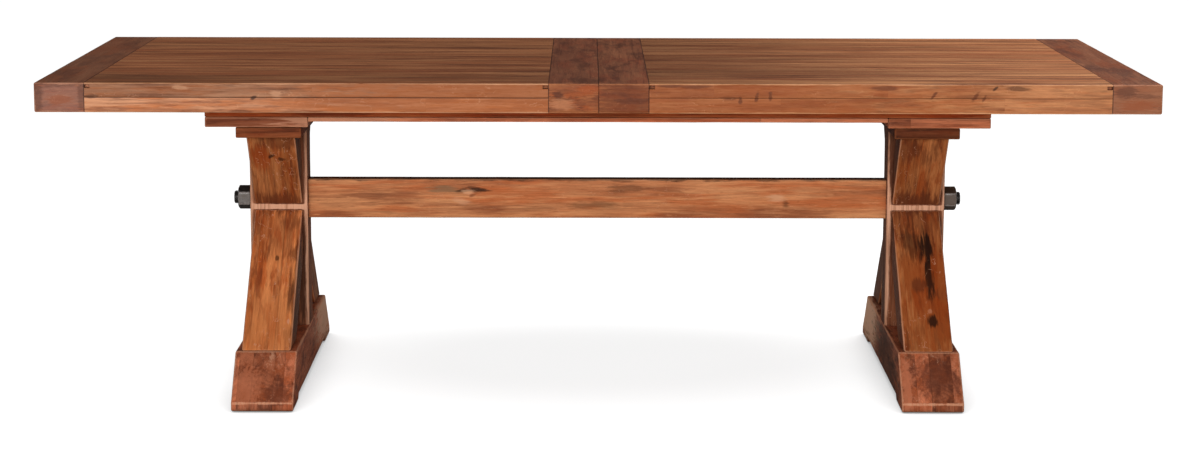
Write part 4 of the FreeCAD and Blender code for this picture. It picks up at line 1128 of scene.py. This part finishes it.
def metalMaterial(name, finish):
    look = {**plainMetal, **finish}
    shades = shadesOf(look)
    material, tree, shader = newMaterial(name)
    place = addNode(tree, "ShaderNodeTexCoord").outputs["Object"]
    grit = speckle(tree, place, (look["grit"],) * 3, *look["gritDetail"])
    cloud = layer(tree, place, *look["cloud"])
    scratch = layer(tree, place, *look["scratch"])
    swing = mathStep(tree, "SUBTRACT", grit, 0.5)
    rubbed = mathStep(tree, "MULTIPLY_ADD", swing, look["rubbedGrit"], readLayer(tree, "wear"))
    rubbed = ease(tree, rubbed, *look["rubbedLevels"])
    color = blendColor(tree, times(tree, cloud, look["dustShare"]), shades["base"], shades["dust"])
    color = shadeColor(tree, color, ease(tree, grit, *look["gritLevels"], *look["gritShade"]))
    if "flatShade" in look:
        color = flatShadeColor(tree, look, color, shades, place)
    for mask, share in ((scratch, look["scratchShare"]), (rubbed, look["rubbedShare"])):
        color = blendColor(tree, times(tree, mask, share), color, shades["bare"])
    tree.links.new(color, shader.inputs["Base Color"])
    rough = mathStep(tree, "MULTIPLY_ADD", cloud, look["cloudRoughness"], look["roughness"])
    rough = mathStep(tree, "MULTIPLY_ADD", rubbed, look["rubbedRoughness"], rough)
    tree.links.new(rough, shader.inputs["Roughness"])
    shader.inputs["Metallic"].default_value = look["metallic"]
    links = {"Height": grit, "Distance": look["bump"], "Strength": look["bumpStrength"]}
    tree.links.new(addNode(tree, "ShaderNodeBump", links).outputs[0], shader.inputs["Normal"])
    return material


metal = {name: metalMaterial(name, finish) for name, finish in metals.items()}


# modelling helpers for turned pieces

turnedLook = {"mergeGap": 0.00001, "wearReach": 0.9}


def ringLoop(bm, spot, radii):
    # loop of points about the X axis, one radius for each step of the turn from +Z
    verts = []
    for step, radius in enumerate(radii):
        turn = math.tau * step / len(radii)
        verts.append(bm.verts.new((spot, radius * math.sin(turn), radius * math.cos(turn))))
    return [bm.edges.new((verts[step - 1], verts[step])) for step in range(len(verts))]


def turned(bm, rings, start, axis, closed=False):
    # rings of place and radii bridged one to the next, as a tube or with flat ends, and put in place
    loops = [ringLoop(bm, spot, radii) for spot, radii in rings]
    pairs = list(zip(loops, loops[1:]))
    if closed:
        pairs.append((loops[-1], loops[0]))
    for first, second in pairs:
        bmesh.ops.bridge_loops(bm, edges=first + second)
    if not closed:
        for loop in (loops[0], loops[-1]):
            bmesh.ops.contextual_create(bm, geom=loop)
    if axis.x < 0:
        turn = Matrix.Rotation(math.pi, 4, "Z")
    else:
        turn = axisX.rotation_difference(axis).to_matrix().to_4x4()
    verts = list({vert for loop in loops for edge in loop for vert in edge.verts})
    bmesh.ops.transform(bm, matrix=Matrix.Translation(start) @ turn, verts=verts)


def closeMetal(bm):
    bmesh.ops.remove_doubles(bm, verts=bm.verts[:], dist=turnedLook["mergeGap"])
    bmesh.ops.recalc_face_normals(bm, faces=bm.faces[:])


def finishMetal(bm, reach=turnedLook["wearReach"]):
    # wear on the sharpest edges, from the angle between faces
    closeMetal(bm)
    wearLayer = bm.verts.layers.float.new("wear")
    for vert in bm.verts:
        bends = [edge.calc_face_angle_signed(0) for edge in vert.link_edges if edge.is_manifold]
        vert[wearLayer] = min(1.0, max(0.0, max(bends, default=0) / reach))


nutLook = {
    "flats": 0.0508, "bore": 0.01615, "boreChamfer": 0.0014, "cornerShare": 0.985, "faceShare": 0.955,
    "chamfers": (0.0, 0.0006, 0.0011, 0.0017, 0.0023, 0.003), "chamferSlope": 1.73, "steps": 72,
}


def nutRings(look, thick):
    apothem = look["flats"] / 2
    turns = [math.tau * step / look["steps"] for step in range(look["steps"])]
    hexagon = [apothem / math.cos(turn % (math.pi / 3) - math.pi / 6) for turn in turns]
    corner = apothem / math.cos(math.pi / 6) * look["cornerShare"]
    mouth = [look["bore"] + look["boreChamfer"]] * look["steps"]
    bore = [look["bore"]] * look["steps"]
    # the corners are turned down to a cone at both faces
    faces = []
    for deep in look["chamfers"]:
        cone = apothem * look["faceShare"] + look["chamferSlope"] * deep
        faces.append((deep, [min(radius, corner, cone) for radius in hexagon]))
    rings = [(0, mouth), *faces]
    rings += [(thick - deep, radii) for deep, radii in reversed(faces)]
    return rings + [(thick, mouth), (thick - look["boreChamfer"], bore), (look["boreChamfer"], bore)]


def makeHexNuts(look):
    bm = bmesh.new()
    low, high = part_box("hex_nuts")
    postFace = -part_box("left_post")[0].x
    rings = nutRings(look, high.x - postFace)
    for sign in sides.values():
        turned(bm, rings, Vector((sign * postFace, 0, (low.z + high.z) / 2)), axisX * sign, closed=True)
    finishMetal(bm)
    makePiece(bm, "hex_nut_pair", metal["blackIron"], "base", "black_iron", ["hex_nuts"])


boltLook = {
    "pitch": 0.00363, "threadDepth": 0.0021, "threadStart": 0.8606, "tip": 0.0022, "step": 0.00033,
    "grooveWidth": 1.5, "grooveSlope": 5.2, "innerEnd": 0.608, "shankEnd": 0.7364, "shankRadius": 0.006,
    "edge": 0.001, "steps": 48, "wearReach": 1.2,
}


def threadRings(look, outer, radius):
    run = outer - look["threadStart"]
    count = math.ceil(run / look["step"])
    for number in range(count + 1):
        spot = look["threadStart"] + run * number / count
        tip = radius - max(0.0, look["tip"] - (outer - spot))
        radii = []
        for step in range(look["steps"]):
            phase = (spot / look["pitch"] + step / look["steps"]) % 1.0
            groove = min(1.0, max(0.0, look["grooveWidth"] - look["grooveSlope"] * abs(phase - 0.5)))
            radii.append(min(radius - look["threadDepth"] * groove, tip))
        yield spot, radii


def makeDrawBolts(look):
    bm = bmesh.new()
    low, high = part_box("draw_bolts")
    radius = (high.z - low.z) / 2
    inner, shoulder, shank, edge = (look[name] for name in ("innerEnd", "shankEnd", "shankRadius", "edge"))
    plain = [(inner, shank - edge), (inner + edge, shank), (shoulder, shank)]
    plain += [(shoulder, radius - edge), (shoulder + edge, radius)]
    rings = [(spot, [size] * look["steps"]) for spot, size in plain]
    rings += threadRings(look, high.x, radius)
    for sign in sides.values():
        turned(bm, rings, Vector((0, 0, (low.z + high.z) / 2)), axisX * sign)
    finishMetal(bm, look["wearReach"])
    makePiece(bm, "draw_bolt_pair", metal["blackThread"], "base", "black_iron", ["draw_bolts"])


# round pieces that are copied from the boxes of the node's solids

softBreak = ((0, 1), (0.3, 0.3), (1, 0))  # shares of the edge: along the axis, in from the side
plainBreak = ((0, 1), (1, 0))
plainRound = {
    "edge": 0.0012, "break": softBreak, "steps": 32,
    "finish": "platedSteel", "slot": "plated_steel", "body": "base",
}
roundLooks = {
    "seam_pins": {"axis": 0, "body": "left_half"},
    "barrel_nuts": {"axis": 1, "edge": 0.001},
    "floor_glides": {"axis": 2, "finish": "nylon", "slot": "nylon"},
}


def rodMesh(nodeName, look):
    # a turned rod for each solid, along the given axis or else its longest side
    bm = bmesh.new()
    source = boardMesh(nodeName)
    for low, high in islandBoxes(source):
        size = high - low
        axis = look["axis"] if "axis" in look else list(size).index(max(size))
        radius = (size[axis - 1] + size[axis - 2]) / 4
        start = (low + high) / 2
        start[axis] = low[axis]
        near = [(look["edge"] * along, radius - look["edge"] * inwards) for along, inwards in look["break"]]
        profile = near + [(size[axis] - spot, narrow) for spot, narrow in reversed(near)]
        rings = [(spot, [narrow] * look["steps"]) for spot, narrow in profile]
        turned(bm, rings, start, alongX[axis])
    source.free()
    return bm


def makeRound(nodeName, look):
    look = {**plainRound, **look}
    bm = rodMesh(nodeName, look)
    finishMetal(bm)
    makePiece(bm, nodeName + "_turned", metal[look["finish"]], look["body"], look["slot"], [nodeName])


dowelLook = {
    "axes": alongZ, "edge": 0.0015, "break": plainBreak, "steps": 24,
    "wearWidth": 0.004, "slice": 0.3, "dent": 0.0, "dentScale": 20.0, "tone": 0.6,
}


def makeDowels(nodeName, look):
    bm = rodMesh(nodeName, look)
    closeMetal(bm)
    finishBoard(bm, (), (), nodeName, look)
    makePiece(bm, nodeName + "_turned", timber["stretcherTimber"], "base", "base_timber", [nodeName])


# flat lock pieces keep the node's shape, with the edges broken

sharpLock = 0.6  # angle between faces, in radians, from which an edge is broken
lockLooks = {
    "lock_pivots": {"radius": 0.0005, "body": "left_half"},
    "lock_strikes": {"radius": 0.0005, "body": "right_half"},
    "front_lock_lever": {"radius": 0.0007, "body": "front_lock"},
    "rear_lock_lever": {"radius": 0.0007, "body": "rear_lock"},
}


def makeLock(nodeName, look):
    bm = boardMesh(nodeName)
    sharp = [edge for edge in bm.edges if edge.is_manifold and edge.calc_face_angle_signed(0) > sharpLock]
    roundOver(bm, sharp, look["radius"], segments=2)
    finishMetal(bm)
    makePiece(bm, nodeName + "_plated", metal["platedSteel"], look["body"], "plated_steel", [nodeName])


makeHexNuts(nutLook)
makeDrawBolts(boltLook)
for nodeName, look in roundLooks.items():
    makeRound(nodeName, look)
makeDowels("brace_dowels", dowelLook)
for nodeName, look in lockLooks.items():
    makeLock(nodeName, look)
print("metal and nylon made")


# floor and light

stageLook = {
    "floorReach": 60.0, "floorTint": (0.37, 0.34, 0.3, 1), "shadowTint": (0.3, 0.3, 0.3, 1),
    # the floor's glow, with a painted shadow under the table and at the feet
    "nearGlow": 0.815, "nearReach": 0.35, "farReach": 1.0,
    "shadowPatchCentre": (0, 0.15, 0), "shadowPatchSize": (1.0, 0.75, 1),
    "contactReach": 0.16, "contactShade": 0.25, "contactLevels": (0.0, 0.9), "contactSamples": 12,
    "skyLight": 0.03, "worldInMirror": 0.01, "floorInMirror": 0.05,
}


def seenDirectly(tree, mirrorShare):
    # camera and glass rays show the plain background, mirror rays take a share of it
    rays = addNode(tree, "ShaderNodeLightPath").outputs
    mirror = times(tree, rays["Is Glossy Ray"], mirrorShare)
    either = mathStep(tree, "MAXIMUM", rays["Is Camera Ray"], mirror)
    return mathStep(tree, "MAXIMUM", either, rays["Is Transmission Ray"])


def floorGlowWithPaintedShadow(tree, look):
    # painted shadow: a little darker under the table, and darkest where the feet stand
    place = addNode(tree, "ShaderNodeTexCoord").outputs["Object"]
    offset = vectorStep(tree, "SUBTRACT", place, look["shadowPatchCentre"])
    far = vectorStep(tree, "LENGTH", vectorStep(tree, "DIVIDE", offset, look["shadowPatchSize"]), output="Value")
    glow = ease(tree, far, look["nearReach"], look["farReach"], look["nearGlow"], 1.0)
    contact = openness(tree, look["contactReach"], look["contactSamples"])
    return times(tree, glow, ease(tree, contact, *look["contactLevels"], look["contactShade"], 1.0))


def makeFloor(look):
    bm = bmesh.new()
    bmesh.ops.create_grid(bm, x_segments=1, y_segments=1, size=look["floorReach"])
    mesh = bpy.data.meshes.new("paleFloor")
    bm.to_mesh(mesh)
    bm.free()
    floor = addObject("paleFloor", mesh)
    floor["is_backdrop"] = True
    material, tree, shader = newMaterial("paleFloor")
    tree.nodes.remove(shader)
    lit = addNode(tree, "ShaderNodeBsdfDiffuse", {"Color": look["floorTint"]}).outputs[0]
    shadowed = addNode(tree, "ShaderNodeBsdfDiffuse", {"Color": look["shadowTint"]}).outputs[0]
    glow = addNode(tree, "ShaderNodeEmission", {"Strength": floorGlowWithPaintedShadow(tree, look)}).outputs[0]
    shown = addNode(tree, "ShaderNodeAddShader", {0: shadowed, 1: glow}).outputs[0]
    links = {0: seenDirectly(tree, look["floorInMirror"]), 1: lit, 2: shown}
    mix = addNode(tree, "ShaderNodeMixShader", links).outputs[0]
    tree.links.new(mix, tree.nodes["Material Output"].inputs["Surface"])
    mesh.materials.append(material)


def makeWorld(look):
    world = bpy.data.worlds.new("studio")
    scene.world = world
    world.use_nodes = True
    tree = world.node_tree
    seen = seenDirectly(tree, look["worldInMirror"])
    strength = mathStep(tree, "MULTIPLY_ADD", seen, 1.0 - look["skyLight"], look["skyLight"])
    tree.links.new(strength, tree.nodes["Background"].inputs["Strength"])
    tree.nodes["Background"].inputs["Color"].default_value = (1, 1, 1, 1)


lamps = {
    "frontSoftbox": {"place": (-0.5, -7.0, 1.6), "aim": (0, 0, 0.45), "size": (5.0, 1.8), "power": 440},
    "overheadSoftbox": {"place": (1.9, 0.3, 3.5), "aim": (1.7, 0.2, 0.7), "size": (2.2, 1.6), "power": 82},
    "rearLeftSoftbox": {"place": (-5.0, 4.0, 2.0), "aim": (0, 0, 0.4), "size": (3.0, 2.0), "power": 65},
    "rearRightSoftbox": {"place": (5.0, 4.0, 2.0), "aim": (0, 0, 0.4), "size": (3.0, 2.0), "power": 90},
}


def makeLamps(looks):
    for name, look in looks.items():
        lamp = bpy.data.lights.new(name, "AREA")
        lamp.shape = "RECTANGLE"
        lamp.size, lamp.size_y = look["size"]
        lamp.energy = look["power"]
        holder = addObject(name, lamp)
        holder.location = look["place"]
        way = Vector(look["aim"]) - Vector(look["place"])
        holder.rotation_euler = way.to_track_quat("-Z", "Y").to_euler()


makeFloor(stageLook)
makeWorld(stageLook)
makeLamps(lamps)
print("stage made")


# camera at the viewing angle of the photograph

viewLook = {
    "imageWidth": 1191, "focalPixels": 2743.9, "place": (-0.0295, -6.5197, 1.4331),
    "yaw": -0.221, "pitch": 9.411, "roll": 0.152,
}


def makeCamera(look):
    camera = bpy.data.cameras.new("tableCamera")
    camera.lens = camera.sensor_width * look["focalPixels"] / look["imageWidth"]
    holder = addObject("tableCamera", camera)
    turn = Matrix.Rotation(math.radians(look["yaw"]), 4, "Z")
    tilt = Matrix.Rotation(math.radians(90 - look["pitch"]), 4, "X")
    lean = Matrix.Rotation(math.radians(look["roll"]), 4, "Z")
    holder.matrix_world = Matrix.Translation(look["place"]) @ turn @ tilt @ lean
    scene.camera = holder


makeCamera(viewLook)

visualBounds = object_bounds()
boxes = {"cad": cadBounds, "visual": visualBounds}
{name: [list(low), list(high)] for name, (low, high) in boxes.items()}
